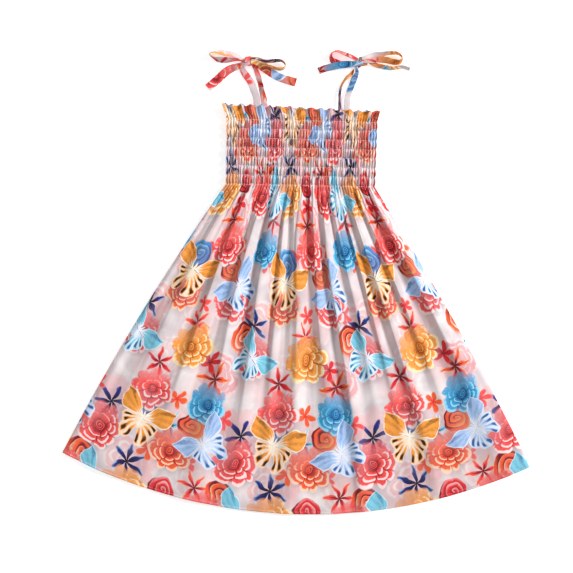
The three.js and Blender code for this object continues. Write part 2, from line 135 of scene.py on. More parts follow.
def section_place(upper, lower, share, across):
    middle = mix(upper["x"], lower["x"], share)
    level = mix(upper["y"], lower["y"], share)
    half = mix(upper["half"], lower["half"], share)
    tilt = math.radians(mix(upper["tilt"], lower["tilt"], share))
    return middle + half * across * np.cos(tilt), level + half * across * np.sin(tilt)


def skirt_place(across, down):
    waist_x, waist_y = section_place(WAIST, WAIST, 0, across)
    angle = np.radians(HEM["middle"] + HEM["half"] * across)
    hem_x = HEM["x"] + HEM["radius"] * np.sin(angle)
    hem_y = HEM["y"] - HEM["radius"] * np.cos(angle)
    bow = np.where(across < 0, LEFT_BOW, RIGHT_BOW) * across * 4 * down * (1 - down)
    return mix(waist_x, hem_x, down) + bow, mix(waist_y, hem_y, down)


def fold_rows(across):
    """The fold that each point lies in, then the start and the valley of the next one."""
    table = np.array(FOLDS + [SIDE_SEAM])
    index = np.clip(np.searchsorted(table[:-1, 0], across, side="right") - 1, 0, len(FOLDS) - 1)
    return *table[index].T, *table[index + 1, :2].T


def main_folds(across, down):
    """Height of the main folds, and how far each one leans over to the left."""
    drift = 0.012 * uneven(5, 7 * across + 2.3 * down, pace=1.3) * ease(0.05, 0.4, down)
    across = np.clip(across + drift * (1 - across * across), -1, 1)
    start, valley, crest, height, best, life, sharp, end, next_valley = fold_rows(across)
    rising = across < crest
    foot = np.where(rising, start, end)
    base = np.where(rising, valley, next_valley)
    share = np.abs((across - foot) / (crest - foot))
    swell = np.interp(down, SKIRT_DOWN, SKIRT_SWELL)
    round_ = np.interp(down, SKIRT_DOWN, SKIRT_ROUND)
    left = mix(1, life, ease(0, 1, (down - best) / (1 - best)))
    sharp = sharp * rising * ease(0.03, 0.16, down) * ease(1.0, 0.5, down)
    climb = mix(np.sin(0.5 * math.pi * share) ** round_, share**2.6, sharp)
    above = swell * left * (height - base) * climb
    lean = above * (0.75 - 0.3 * best) * np.interp(down, LEAN_DOWN, LEAN_SHARE)
    return swell * base + above, lean * (1 - across**10)


def fold_height(across, down):
    return main_folds(across, down)[0]


def back_top(down):
    return mix(SHIRRED_BACK, SKIRT_BACK, np.clip(down / SETTLED_AT, 0, 1))


def front_under(across, down):
    return back_top(down) + SEAM_GAP + fold_height(across, down)


def gather_phase(across, length):
    """Phase of the fine gathers, which wander a little as they run down the cloth."""
    wander = 0.9 * uneven(11, 9 * across + 0.012 * length, pace=1.7)
    wander = wander + 0.5 * uneven(12, 31 * across + 0.05 * length, pace=1.1)
    return math.pi * GATHERS * (across + 1) + wander * (1 - across**4)


def gather_shape(phase):
    """Round crests and narrow valleys, from 0 to 1."""
    return (0.5 + 0.5 * np.cos(phase)) ** 0.45


def lobe_wave(across):
    loose = 0.7 * (uneven(21, 5 * across) - uneven(21, 5 * LOBE_PLACE))
    return np.cos(math.pi * LOBES * (across - LOBE_PLACE) + loose)


class Cloth:
    """A closed shell of cloth: outer rows and inner rows, both from the top edge down."""

    def __init__(self):
        self.places, self.prints, self.stretch, self.faces = [], [], [], []
        self.count = 0

    def row(self, across, x, y, z, u, length, stretch=0.0):
        ids = np.arange(self.count, self.count + len(across))
        self.count += len(across)
        # Per point, how much painted highlight the material lays over the print
        self.stretch.append(np.broadcast_to(stretch, across.shape))
        self.places.append(np.stack([x, y, z], axis=1))
        self.prints.append(np.stack([u, np.full(u.shape, CUT_LENGTH - length)], axis=1))
        return {"ids": ids, "along": (across + 1) / 2, "y": y}

    def join(self, upper, lower, flipped=False):
        a, b = upper["ids"], lower["ids"]
        if len(a) == len(b):
            quads = np.stack([a[:-1], b[:-1], b[1:], a[1:]], axis=1)
            self.faces.extend((quads[:, ::-1] if flipped else quads).tolist())
            return
        i = j = 0
        up, low = upper["along"], lower["along"]
        while i < len(a) - 1 or j < len(b) - 1:
            step_up = i < len(a) - 1 and (j == len(b) - 1 or up[i + 1] <= low[j + 1] + 1e-9)
            face = [a[i], b[j], a[i + 1] if step_up else b[j + 1]]
            self.faces.append(face[::-1] if flipped else face)
            i, j = (i + 1, j) if step_up else (i, j + 1)

    def side(self, rows, end):
        ids = np.array([row["ids"][end] for row in rows])
        y = np.array([row["y"][end] for row in rows])
        return {"ids": ids, "along": (y[0] - y) / (y[0] - y[-1])}

    def close(self, outer, inner, flipped=False):
        for upper, lower in zip(outer, outer[1:]):
            self.join(upper, lower, flipped)
        for upper, lower in zip(inner, inner[1:]):
            self.join(upper, lower, not flipped)
        self.join(outer[0], inner[0], not flipped)
        self.join(outer[-1], inner[-1], flipped)
        self.join(self.side(outer, 0), self.side(inner, 0), flipped)
        self.join(self.side(outer, -1), self.side(inner, -1), not flipped)

    def object(self, name, material):
        places = np.concatenate(self.places) * MM
        prints = np.concatenate(self.prints) * MM
        piece = mesh_object(name, places, self.faces, material, prints)
        # The painted highlight on the gather crests, kept as a point attribute that the material reads
        stretch = piece.data.attributes.new("Painted crest highlight", "FLOAT", "POINT")
        stretch.data.foreach_set("value", np.concatenate(self.stretch).astype(np.float32))
        return piece


def mesh_object(name, places, faces, material, prints):
    """A smooth mesh in metres, with its places on the flat cloth as the UV map Cloth."""
    mesh = bpy.data.meshes.new(name)
    mesh.from_pydata(np.asarray(places).tolist(), [], [list(map(int, face)) for face in faces])
    layer = mesh.uv_layers.new(name="Cloth")
    corners = np.zeros(len(mesh.loops), dtype=np.int32)
    mesh.loops.foreach_get("vertex_index", corners)
    layer.data.foreach_set("uv", prints[corners].astype(np.float32).ravel())
    mesh.materials.append(material)
    mesh.polygons.foreach_set("use_smooth", [True] * len(mesh.polygons))
    mesh.update()
    return place_object(name, mesh)


def cloth_width(length):
    """Width of the cut, from the length below the top edge."""
    top = RUFFLE_LENGTH + BODICE_LENGTH
    stations = [0, top, CUT_LENGTH]
    return np.interp(length, stations, [CUT_TOP, CUT_WAIST, CUT_HEM])


def print_across(x, y, z, length):
    """Where each point of a row lies on the flat cloth: its share of the row's own length."""
    steps = np.sqrt(np.diff(x) ** 2 + np.diff(y) ** 2 + np.diff(z) ** 2)
    run = np.concatenate([[0], np.cumsum(steps)])
    return (run / run[-1] - 0.5) * cloth_width(length)


def even_columns(count):
    return np.linspace(-1, 1, count + 1)


def skirt_rows():
    """Rows of the skirt: close together under the waist, wider toward the hem."""
    fine = list(SKIRT_LENGTH**-1 * np.cumsum(np.linspace(1.6, 5.5, 26)))
    wide = list(np.linspace(fine[-1], 1 - 4.0 / SKIRT_LENGTH, 48)[1:])
    edge = [1 - below / SKIRT_LENGTH for below in (HEM_STITCH, 2.4, 1.0, 0.0)]
    return [(down, FINE) for down in fine] + [(down, COARSE) for down in wide + edge]


def stitch_dip(down):
    """1 on the line of hem stitches, and little a millimetre away from it."""
    return np.exp(-(((1 - down) * SKIRT_LENGTH - HEM_STITCH) ** 2) / 0.5)


def hem_roll(down):
    """The narrow hem: the cloth dips at the stitching and is thicker below it."""
    below = (1 - down) * SKIRT_LENGTH
    return 0.55 * ease(HEM_STITCH, 2.2, below) * ease(-0.2, 0.8, below) - 0.25 * stitch_dip(down)


def edge_round(across):
    return ease(0.985, 1.0, np.abs(across))


def front_skirt_row(across, down):
    """One row of the front skirt's outer face, with the gathers that run out of the waist."""
    length = RUFFLE_LENGTH + BODICE_LENGTH + down * SKIRT_LENGTH
    below = down * SKIRT_LENGTH
    x, y = skirt_place(across, down)
    phase = gather_phase(across, BODICE_LENGTH + below)
    fine = 3.2 * np.exp(-below / 13.0) * gather_shape(phase)
    pairs = gather_shape(phase * 0.41 + 1.6 * uneven(31, 12 * across, pace=1.2))
    medium = 3.6 * pairs * ease(0, 14, below) * np.exp(-below / 105.0)
    medium = medium * (1 + 0.6 * uneven(32, 15 * across))
    small = 0.55 * uneven(33, 60 * across + 0.9 * down, waves=5)
    small = small * ease(0, 40, below) * (1 - 0.45 * down)
    slant = 0.5 * uneven(34, 22 * across + 14 * down, waves=4) * ease(0.15, 0.5, down)
    folds, lean = main_folds(across, down)
    z = back_top(down) + SEAM_GAP + folds + CLOTH + fine + medium + 0.8 + 0.8 * small + slant
    z = z + hem_roll(down) - 1.7 * edge_round(across) * ease(0, 0.05, down)
    lean = lean + 0.35 * medium * (1 - across**8)
    return x - lean, y, z, length


def bodice_row(across, length):
    """One row of the shirred top's outer face, from the first elastic row down, with the painted
    highlight on its gather crests.
    """
    share = length / BODICE_LENGTH
    tier = min(share * TIERS, TIERS - 1e-6)
    within = tier - math.floor(tier)
    pillow = math.sin(math.pi * within) ** 0.75 if 0 < share < 1 else 0.0
    x, y = section_place(FIRST_ELASTIC, WAIST, share, across)
    number = math.floor(tier)
    near = number - 1 if within < 0.5 else number + 1
    own = 0.5 + 0.5 * ease(0, 0.3, 0.5 - abs(within - 0.5))
    beside, here = (uneven(101 + seed, 31 * across, waves=5) for seed in (near, number))
    shifted = 2.4 * mix(beside, here, own) * (1 - across**8)
    phase = gather_phase(across, length) + shifted * ease(0, 0.04, share) * ease(1, 0.96, share)
    strong = 1 + 0.4 * uneven(141 + number, 47 * across, waves=5)
    paired = 0.9 * (0.5 + 0.5 * np.cos(0.5 * phase + 2.2 * uneven(181 + number, 9 * across)))
    tall = mix(1.3, 2.9, pillow) * np.clip(strong, 0.35, 1.6)
    crest = gather_shape(phase)
    z = SHIRRED_BACK + SEAM_GAP + CLOTH + tall * crest + pillow * (1.1 + paired)
    z = z + 0.35 * uneven(42, 8 * across + 0.06 * length)
    # Painted highlight on the crests of the gathers: patchy along the row, weaker near the elastic rows
    patchy = np.clip(0.75 + 0.6 * uneven(191 + number, 70 * across, waves=5), 0.1, 1)
    stretch = crest**7 * patchy * (0.35 + 0.65 * pillow)
    pull = 0.42 * np.sin(phase) * (0.6 + 0.4 * pillow)
    y = y + 0.7 * uneven(43, 14 * across + 1.3 * tier) * ease(0, 0.05, share) * ease(1, 0.95, share)
    return x - pull * (1 - across**8) + 0.9 * pillow * across**9, y, z, stretch


def ruffle_row(across, share):
    """One row of the front's free ruffle: share 0 at the first elastic row, 1 at the edge."""
    x, y = section_place(FIRST_ELASTIC, EDGE, share, across)
    wave = lobe_wave(across)
    rise = math.sin(0.5 * math.pi * share)
    phase = gather_phase(across, -share * RUFFLE_LENGTH)
    fine = mix(2.3, 0.5, share**0.8) * gather_shape(phase)
    z = SHIRRED_BACK + SEAM_GAP + CLOTH + rise * (3.3 + 2.0 * wave) + fine
    z = z + 0.3 * share * uneven(51, 50 * across + 3 * share)
    y = y + share * (0.9 * wave + 0.5 * uneven(52, 26 * across))
    return x - 0.9 * share * np.sin(math.pi * LOBES * (across - LOBE_PLACE)) * (1 - across**8), y, z


def front_piece(material):
    cloth = Cloth()
    fine, coarse = even_columns(FINE), even_columns(COARSE)
    outer, inner, lines = [], [], []
    for share in (1.0, 0.97, 0.93, EDGE_STITCH, 0.76, 0.66, 0.55, 0.44, 0.33, 0.22, 0.11):
        x, y, z = ruffle_row(fine, share)
        rolled = 0.35 * (1 - share < 0.08) - 0.2 * (share == EDGE_STITCH)
        length = RUFFLE_LENGTH * (1 - share)
        u = print_across(x, y, z, length)
        outer.append(cloth.row(fine, x, y, z + rolled, u, length))
        inner.append(cloth.row(fine, x, y, z - CLOTH, u, length))
    steps = 8
    for step in range(TIERS * steps + 1):
        length = step * BODICE_LENGTH / (TIERS * steps)
        x, y, z, stretch = bodice_row(fine, length)
        total = RUFFLE_LENGTH + length
        u = print_across(x, y, z, total)
        outer.append(cloth.row(fine, x, y, z, u, total, stretch))
        if step % steps == 0:
            lines.append(np.stack([x, y, z], axis=1))
        if step % 2 == 0 and step < TIERS * steps:
            inner.append(cloth.row(fine, x, y, z - CLOTH, u, total))
    for index, (down, count) in enumerate([(0.0, FINE)] + skirt_rows()):
        across = fine if count == FINE else coarse
        x, y, z, length = front_skirt_row(across, down)
        u = print_across(x, y, z, length)
        if index > 0:
            outer.append(cloth.row(across, x, y, z, u, length))
        if index % 2 == 0 or down > HEM_FROM:
            low_x, low_y, low_z, _ = front_skirt_row(coarse, down)
            floor = front_under(coarse, down) - 1.3 * edge_round(coarse) * ease(0, 0.05, down)
            under = np.where(down > HEM_FROM, low_z - CLOTH, np.minimum(floor + 0.25, low_z - CLOTH))
            spread = print_across(low_x, low_y, low_z, length)
            inner.append(cloth.row(coarse, low_x, low_y, under, spread, length))
        if stitch_dip(down) > 0.99:
            lines.append(np.stack([x, y, z], axis=1))
    cloth.close(outer, inner)
    return cloth.object("front", material), lines


def back_skirt_low(across, down):
    """Underside of the back skirt: pressed flat on the surface between lifted folds."""
    start, _, crest, height, _, _, _, end, _ = fold_rows(across)
    half = 0.5 * np.where(across < crest, crest - start, end - crest)
    near = np.clip(1 - np.abs(across - crest) / half, 0, 1)
    swell = np.interp(down, SKIRT_DOWN, SKIRT_SWELL) * np.clip(down / SETTLED_AT, 0, 1)
    groove = 0.66 * height * swell * near**1.2
    small = 0.5 * np.clip(uneven(61, 40 * across + 2 * down, waves=5), 0, 1)
    return groove + small * ease(0.02, 0.1, down)


def back_piece(material):
    cloth = Cloth()
    fine, coarse = even_columns(FINE), even_columns(COARSE)
    outer, inner, lines = [], [], []
    for share in (1.0, 0.93, 0.8, 0.6, 0.4, 0.2):
        x, y = section_place(FIRST_ELASTIC, EDGE, share, fine)
        wave = np.cos(math.pi * LOBES * (fine - LOBE_PLACE) + 1.9 * uneven(71, 6 * fine))
        phase = gather_phase(fine, 7 - share * RUFFLE_LENGTH)
        low = 0.5 * share * (1 - wave) + mix(1.6, 0.1, share) * (1 - gather_shape(phase))
        y = y + share * (1.3 * wave + 1.2 + 0.6 * uneven(72, 20 * fine))
        length = RUFFLE_LENGTH * (1 - share)
        u = -print_across(x, y, low, length)
        top = np.full(fine.shape, mix(SHIRRED_BACK, 0, share))
        outer.append(cloth.row(fine, x, y, low, u, length))
        inner.append(cloth.row(fine, x, y, np.maximum(low + CLOTH, top), u, length))
    steps = 6
    for step in range(TIERS * steps + 1):
        length = step * BODICE_LENGTH / (TIERS * steps)
        x, y, z, _ = bodice_row(fine, length)
        total = RUFFLE_LENGTH + length
        depth = (z.max() - z) / (z.max() - z.min())
        pulled = math.cos(math.pi * step / steps) ** 6
        low = np.clip(1.3 * depth - 0.18, 0, 1) * (SHIRRED_BACK - CLOTH - 0.6 * pulled) + 0.6 * pulled
        u = -print_across(x, y, low, total)
        outer.append(cloth.row(fine, x, y, low, u, total))
        if step % steps == 0:
            lines.append(np.stack([x, y, low], axis=1))
        if step % 2 == 0:
            inner.append(cloth.row(fine, x, y, low + CLOTH, u, total))
    for index, (down, count) in enumerate(skirt_rows()):
        across = fine if count == FINE else coarse
        length = RUFFLE_LENGTH + BODICE_LENGTH + down * SKIRT_LENGTH
        below = down * SKIRT_LENGTH
        x, y = skirt_place(across, down)
        phase = gather_phase(across, BODICE_LENGTH + below)
        fade = np.exp(-below / 16.0)
        pairs = 2.3 * np.exp(-below / 200.0) * gather_shape(0.36 * phase + 1.5 * uneven(62, 9 * across))
        low = back_skirt_low(across, down) + 2.0 * fade * (1 - gather_shape(phase)) + (1 - fade) * pairs
        low = np.minimum(low, back_top(down) - CLOTH + 0.72 * fold_height(across, down))
        low = low + 0.4 * stitch_dip(down)
        u = -print_across(x, y, low, length)
        outer.append(cloth.row(across, x, y, low, u, length))
        if count == FINE or index % 2 == 0 or down > HEM_FROM:
            inner.append(cloth.row(across, x, y, low + CLOTH, u, length))
        if stitch_dip(down) > 0.99:
            lines.append(np.stack([x, y, low], axis=1))
    cloth.close(outer, inner, flipped=True)
    return cloth.object("back", material), lines


# Colours of the print, by a maker's names, as they look on white cloth
INKS = {
    "milk": "ece3e3", "blush": "eec6c6", "greige": "cbbdc1", "shade": "9a828a", "slate": "3d5f94",
    "mist": "e3e8f4", "frost": "f0f5fd", "cream": "f6ebd9", "rim": "fbdcdc", "straw": "fbe0b4",
    "peach": "f6cdb0", "pink": "f0a3a4", "rose": "e8737c", "coral": "f4524e", "scarlet": "f04440",
    "flame": "ef5b33", "red": "d92b30", "brick": "8f1626", "wine": "7c1220", "amber": "f09a42",
    "orange": "f09a3e", "rust": "a94c16", "brown": "3c1d14", "sky": "a6c3ec", "pool": "8fd2ef",
    "teal": "7cc6dc", "lagoon": "3a97c6", "blue": "2f86cf", "deep": "123c7c", "navy": "232a6e",
    "violet": "5c5cb8", "ink": "1b1533",
}


def ink(name):
    """The linear colour of an ink, with full cover."""
    parts = [int(INKS[name][at : at + 2], 16) / 255 for at in (0, 2, 4)]
    linear = [part / 12.92 if part <= 0.04045 else ((part + 0.055) / 1.055) ** 2.4 for part in parts]
    return (*linear, 1.0)


def add_node(tree, kind, inputs):
    """A node of this kind, with each input joined to a socket or set to a value."""
    node = tree.nodes.new(kind)
    for name, value in inputs.items():
        if isinstance(value, bpy.types.NodeSocket):
            tree.links.new(value, node.inputs[name])
        else:
            node.inputs[name].default_value = value
    return node


class Flow:
    """A number that a node of a material gives, so that sums can be written as sums."""

    def __init__(self, tree, socket):
        self.tree, self.socket = tree, socket

    def math(self, operation, *others):
        values = (other.socket if isinstance(other, Flow) else other for other in (self, *others))
        node = add_node(self.tree, "ShaderNodeMath", dict(enumerate(values)))
        node.operation = operation
        return Flow(self.tree, node.outputs[0])

    def ramp(self, start, end, low=0.0, high=1.0):
        """Smoothly from low at start to high at end."""
        if start > end:
            start, end, low, high = end, start, high, low
        inputs = {"Value": self.socket, "From Min": start, "From Max": end, "To Min": low, "To Max": high}
        node = add_node(self.tree, "ShaderNodeMapRange", inputs)
        node.interpolation_type = "SMOOTHSTEP"
        return Flow(self.tree, node.outputs["Result"])


def flow_sum(operation):
    def method(self, *others):
        return self.math(operation, *others)

    return method


for sum_name, operation in (
    ("__add__", "ADD"), ("__sub__", "SUBTRACT"), ("__mul__", "MULTIPLY"), ("__truediv__", "DIVIDE"),
    ("__pow__", "POWER"), ("__abs__", "ABSOLUTE"), ("sin", "SINE"), ("cos", "COSINE"),
    ("floor", "FLOOR"), ("fract", "FRACT"), ("cycle", "FLOORED_MODULO"), ("larger", "MAXIMUM"),
    ("smaller", "MINIMUM"), ("root", "SQRT"), ("angle_from", "ARCTAN2"),
):
    setattr(Flow, sum_name, flow_sum(operation))


def chart(share, rows):
    """Looks up a colour, or four numbers from 0 to 1, in a table with one row for each cell."""
    node = add_node(share.tree, "ShaderNodeValToRGB", {"Fac": share.socket})
    node.color_ramp.interpolation = "CONSTANT"
    stops = node.color_ramp.elements
    while len(stops) < len(rows):
        stops.new(1.0)
    for number, row in enumerate(rows):
        stops[number].position = number / len(rows)
        stops[number].color = row
    return node.outputs["Color"], Flow(share.tree, node.outputs["Alpha"])


def split(tree, color):
    node = add_node(tree, "ShaderNodeSeparateColor", {0: color})
    return [Flow(tree, node.outputs[part]) for part in range(3)]


def blend(share, low, high):
    """A colour between two colours, each given as a socket or as four numbers."""
    tree = share.tree
    node = tree.nodes.new("ShaderNodeMix")
    node.data_type = "RGBA"
    tree.links.new(share.socket, node.inputs["Factor"])
    for name, value in (("A", low), ("B", high)):
        slot = next(s for s in node.inputs if s.name == name and s.type == "RGBA")
        if isinstance(value, tuple):
            slot.default_value = value
        else:
            tree.links.new(value, slot)
    return next(s for s in node.outputs if s.type == "RGBA")


# The repeat of the print, and more than its largest motif's radius, in millimetres of cloth
REPEAT_WIDE, REPEAT_TALL = 190.0, 212.0
LARGEST = 50


class Layer:
    """One layer of motifs: a table of cells that tiles the repeat, one motif in each cell."""

    def __init__(self, u, v, columns, rows, stagger, motifs, roam):
        tree = u.tree
        wide, tall = REPEAT_WIDE / columns, REPEAT_TALL / rows
        row = (v / tall).floor()
        shifted = u / wide + row.cycle(2) * stagger
        column = shifted.floor()
        number = column.cycle(columns) + row.cycle(rows) * columns
        share = (number + 0.5) / (columns * rows)
        places = [(m[0] / 2 + 0.5, m[1] / 2 + 0.5, m[2] / 360, m[3] / LARGEST) for m in motifs]
        place, size = chart(share, places)
        move_x, move_y, turn = split(tree, place)
        x = (shifted - column - 0.5) * wide - (move_x - 0.5) * (2 * roam)
        y = (v / tall - row - 0.5) * tall - (move_y - 0.5) * (2 * roam)
        angle = turn * (2 * math.pi)
        cosine, sine = angle.cos(), angle.sin()
        self.size = (size * LARGEST).larger(0.01)
        self.x = (x * cosine + y * sine) / self.size
        self.y = (y * cosine - x * sine) / self.size
        self.shade_x, self.shade_y = x, y
        self.share = share
        self.colours = [chart(share, [ink(m[part]) for m in motifs])[0] for part in (4, 5, 6)]

    def reach(self):
        return (self.x * self.x + self.y * self.y).root()

    def angle(self):
        return self.y.angle_from(self.x)

    def shadow(self, ground, wide, strength):
        """A soft shade that the motif throws on the cloth below it."""
        x = (self.shade_x - 2.5) / self.size
        y = (self.shade_y + 3.5) / self.size
        far = (x * x + y * y).root()
        return blend(far.ramp(wide, 0.6, 0, strength), ground, ink("shade"))

    def paint(self, ground, cover, tone):
        """Dark, main and rim colours by tone from 0 to 1, laid over the ground."""
        dark, main, rim = self.colours
        low = blend(tone.ramp(0.0, 0.45), dark, main)
        colour = blend(tone.ramp(0.55, 1.0), low, rim)
        return blend(cover, ground, colour)


def layered_flower(layer):
    """A full flower: soft upper petals, lower ones with pale curled edges and dark gaps."""
    reach, angle = layer.reach(), layer.angle()
    low_side = (layer.y * -0.85 + layer.x * 0.35).ramp(-0.75, 0.55)
    wobble = (angle * 2 + 0.7).sin() * 0.035 + (angle * 5 + 2.1).sin() * 0.02
    cover = tone = None
    for size, count, turn, notch in ((1.0, 8, 0.4, 0.26), (0.73, 7, 1.3, 0.24), (0.47, 6, 0.2, 0.18)):
        bent = angle + (angle * 2 + turn * 5).sin() * 0.13 + (angle * 3 + turn * 9).sin() * 0.07
        lobe = abs((bent * (count / 2) + turn).cos())
        edge = (lobe**0.5 * notch + wobble + (1 - notch)) * size
        share = reach / edge
        inside = share.ramp(1.03, 0.97)
        inner = low_side * -0.36 + 0.42
        body = inner + (inner * -1 + 0.55) * share.ramp(0.55, 0.9)
        rim = share.ramp(0.82, 0.94) * lobe.ramp(0.1, 0.4) * (low_side * 0.56 + 0.03)
        gap = lobe.ramp(0.3, 0.0) * share.ramp(0.4, 0.8) * (low_side * 0.45 + 0.05)
        ring = body + rim - gap
        tone = ring if tone is None else tone + (ring - tone) * inside
        cover = inside if cover is None else cover
    veins = (angle * 31 + reach * 4).sin() * reach.ramp(0.2, 0.8, 0.0, 0.06)
    wound = (angle / (2 * math.pi) + reach * 12).fract().ramp(0.35, 0.75, -0.1, 0.42)
    wound = wound * reach.ramp(0.19, 0.16)
    ringed = abs(reach - 0.2).ramp(0.05, 0.0, 0.0, 0.1)
    return cover * layer.y.ramp(0.0, 1.0, 1.0, 0.55), tone + veins + wound - ringed


def butterfly(layer):
    """Open wings, mirrored: leaf-shaped fore wings, fanned hind wings cut with dashes."""
    side, up = abs(layer.x), layer.y
    reach, angle = layer.reach(), up.angle_from(side)
    along = (side * 0.85 + up * 0.53).larger(0.0).smaller(1.0)
    across = up * 0.85 - side * 0.53 - along * along * 0.16 + along * 0.07
    top = (along**0.95 * math.pi).sin() * 0.23
    bottom = (along**1.5 * math.pi).sin() * 0.36
    fore = (top - across).smaller(across + bottom)
    streak = (angle * 22 + reach * 3).sin()
    fore_tone = fore.ramp(0.05, 0.025, 0.0, 0.5) + streak.ramp(-0.4, 0.9, 0.34, 0.6)
    fore_tone = fore_tone - across.ramp(-0.2, 0.15, 0.0, 0.2) * along.ramp(0.3, 0.9)
    fore_tone = fore_tone + reach.ramp(0.42, 0.12, 0.0, 0.5)
    scallop = abs((angle * 4.5).sin())
    spread = angle.ramp(-1.5, -1.36) * angle.ramp(0.1, -0.06)
    hind_edge = spread * (angle.ramp(-1.3, -0.3, 0.72, 0.5) + scallop * 0.07)
    hind = reach / (hind_edge + 0.001)
    cell = abs((angle * 9 + reach * 1.5).sin())
    cuts = cell.ramp(0.5, 0.95) * hind.ramp(0.25, 0.5) * hind.ramp(0.95, 0.84)
    dashes = cuts * hind.ramp(0.4, 0.8, -0.35, -1.15) * (angle * 3 + 1).sin().ramp(-1, 1, 0.75, 1.0)
    hind_tone = dashes + 0.86
    fore_in, hind_in = fore.ramp(-0.005, 0.015), hind.ramp(1.01, 0.95)
    tone = hind_tone + (fore_tone - hind_tone) * fore_in
    body_x, body_y = side / 0.035, (up + 0.05) / 0.3
    body = (body_x * body_x + body_y * body_y).ramp(1.1, 0.7)
    tone = tone + (tone * -1 + 0.95) * body
    return fore_in.larger(hind_in).larger(body), tone


def blossom(layer):
    """A flat flower of five petals with a crease down each."""
    reach, angle = layer.reach(), layer.angle()
    lobe = abs((angle * 2.5).cos())
    edge = lobe**0.85 * 0.78 + 0.2
    share = reach / edge
    tone = share.ramp(0.05, 0.5, 0.05, 0.55) + share.ramp(0.75, 1.0, 0.0, 0.2)
    crease = lobe.ramp(0.93, 1.0, 0.0, -0.2) * reach.ramp(0.85, 0.6)
    return share.ramp(1.05, 0.96), tone + crease


def leaf_spray(layer):
    """Six pointed leaves from one point, each with a dark rib and a pale tip."""
    reach, angle = layer.reach(), layer.angle()
    lobe = abs((angle * 3).cos())
    edge = lobe**2.0 * 0.92 + 0.06
    share = reach / edge
    tone = reach.ramp(0.0, 0.9, 0.02, 0.85) + share.ramp(0.7, 1.0, 0.0, 0.15)
    rib = lobe.ramp(0.94, 1.0, 0.0, -0.3)
    return share.ramp(1.06, 0.94), tone + rib


def spiral_rose(layer):
    """A rose of wound petals seen from above."""
    reach, angle = layer.reach(), layer.angle()
    edge = (angle * 3).cos() * 0.05 + 0.95
    share = reach / edge
    wound = (angle / (2 * math.pi) + share * 2.6 + (angle * 2).sin() * 0.1).fract()
    light = layer.x * -0.2 + layer.y * 0.3
    tone = wound.ramp(0.0, 0.8, 0.1, 0.72) + wound.ramp(0.85, 1.0, 0, 0.25) + light
    return share.ramp(1.03, 0.97), tone - share.ramp(0.75, 1.0, 0, 0.25)


def noise(tree, vector, scale, detail=2.0, distortion=0.0, output="Fac"):
    inputs = {"Vector": vector, "Scale": scale, "Detail": detail, "Distortion": distortion}
    return Flow(tree, add_node(tree, "ShaderNodeTexNoise", inputs).outputs[output])


# Each motif: place in its cell across and up, from -1 to 1, turn in degrees, radius in
# millimetres, and its dark, main and rim inks
BIG_FLOWERS = [
    (0.4, 0.1, 8, 31, "brick", "coral", "rim"),
    (-0.7, 0.0, 350, 28, "deep", "lagoon", "pool"),
    (-0.3, 0.1, 20, 33, "rust", "amber", "straw"),
    (0.6, -0.2, 0, 30, "wine", "scarlet", "rim"),
    (0.2, 0.0, 340, 30, "brick", "flame", "peach"),
    (-0.5, 0.1, 15, 33, "brick", "coral", "rim"),
]
BUTTERFLIES = [
    (0.1, 0.3, 344, 49, "brown", "orange", "cream"),
    (-0.1, -0.6, 48, 45, "slate", "sky", "mist"),
    (0.2, 0.6, 318, 43, "slate", "teal", "mist"),
    (0.0, 0.0, 0, 0.1, "slate", "sky", "mist"),
]
ROSES = [
    (0.6, 0.3, 0, 21, "deep", "blue", "pool"),
    (-0.5, -0.4, 200, 19, "wine", "flame", "orange"),
    (-0.3, 0.5, 120, 22, "wine", "flame", "peach"),
    (0.5, 0.2, 310, 18, "wine", "red", "pink"),
]
SPRAYS = [
    (0.3, 0.2, 15, 25, "ink", "navy", "violet"),
    (-0.5, -0.4, 70, 23, "deep", "teal", "frost"),
    (0.5, 0.4, 40, 22, "wine", "red", "pink"),
    (-0.2, 0.0, 5, 26, "wine", "flame", "peach"),
    (0.1, 0.5, 30, 25, "ink", "navy", "sky"),
    (-0.4, -0.3, 55, 22, "wine", "coral", "peach"),
]
BLOSSOMS = [
    (0.3, 0.2, 10, 16, "red", "coral", "pink"),
    (-0.4, 0.5, 60, 14.5, "red", "flame", "peach"),
    (0.1, -0.5, 200, 15, "red", "coral", "pink"),
    (0.5, 0.0, 320, 13, "red", "flame", "peach"),
    (-0.2, -0.3, 140, 16, "wine", "red", "rose"),
    (0.4, 0.4, 25, 14.5, "red", "coral", "pink"),
    (0.0, 0.1, 280, 16, "red", "flame", "orange"),
    (-0.5, -0.1, 100, 13, "red", "coral", "peach"),
    (0.2, -0.2, 45, 15, "red", "coral", "pink"),
]
GHOSTS = [
    (0.3, 0.0, 0, 38, "blush", "pink", "milk"),
    (-0.4, 0.3, 40, 34, "pink", "blush", "milk"),
    (0.0, -0.3, 80, 40, "greige", "blush", "milk"),
    (0.5, 0.2, 120, 33, "pink", "rose", "rim"),
    (-0.2, 0.0, 200, 37, "blush", "pink", "milk"),
    (0.2, -0.2, 300, 36, "peach", "blush", "milk"),
]


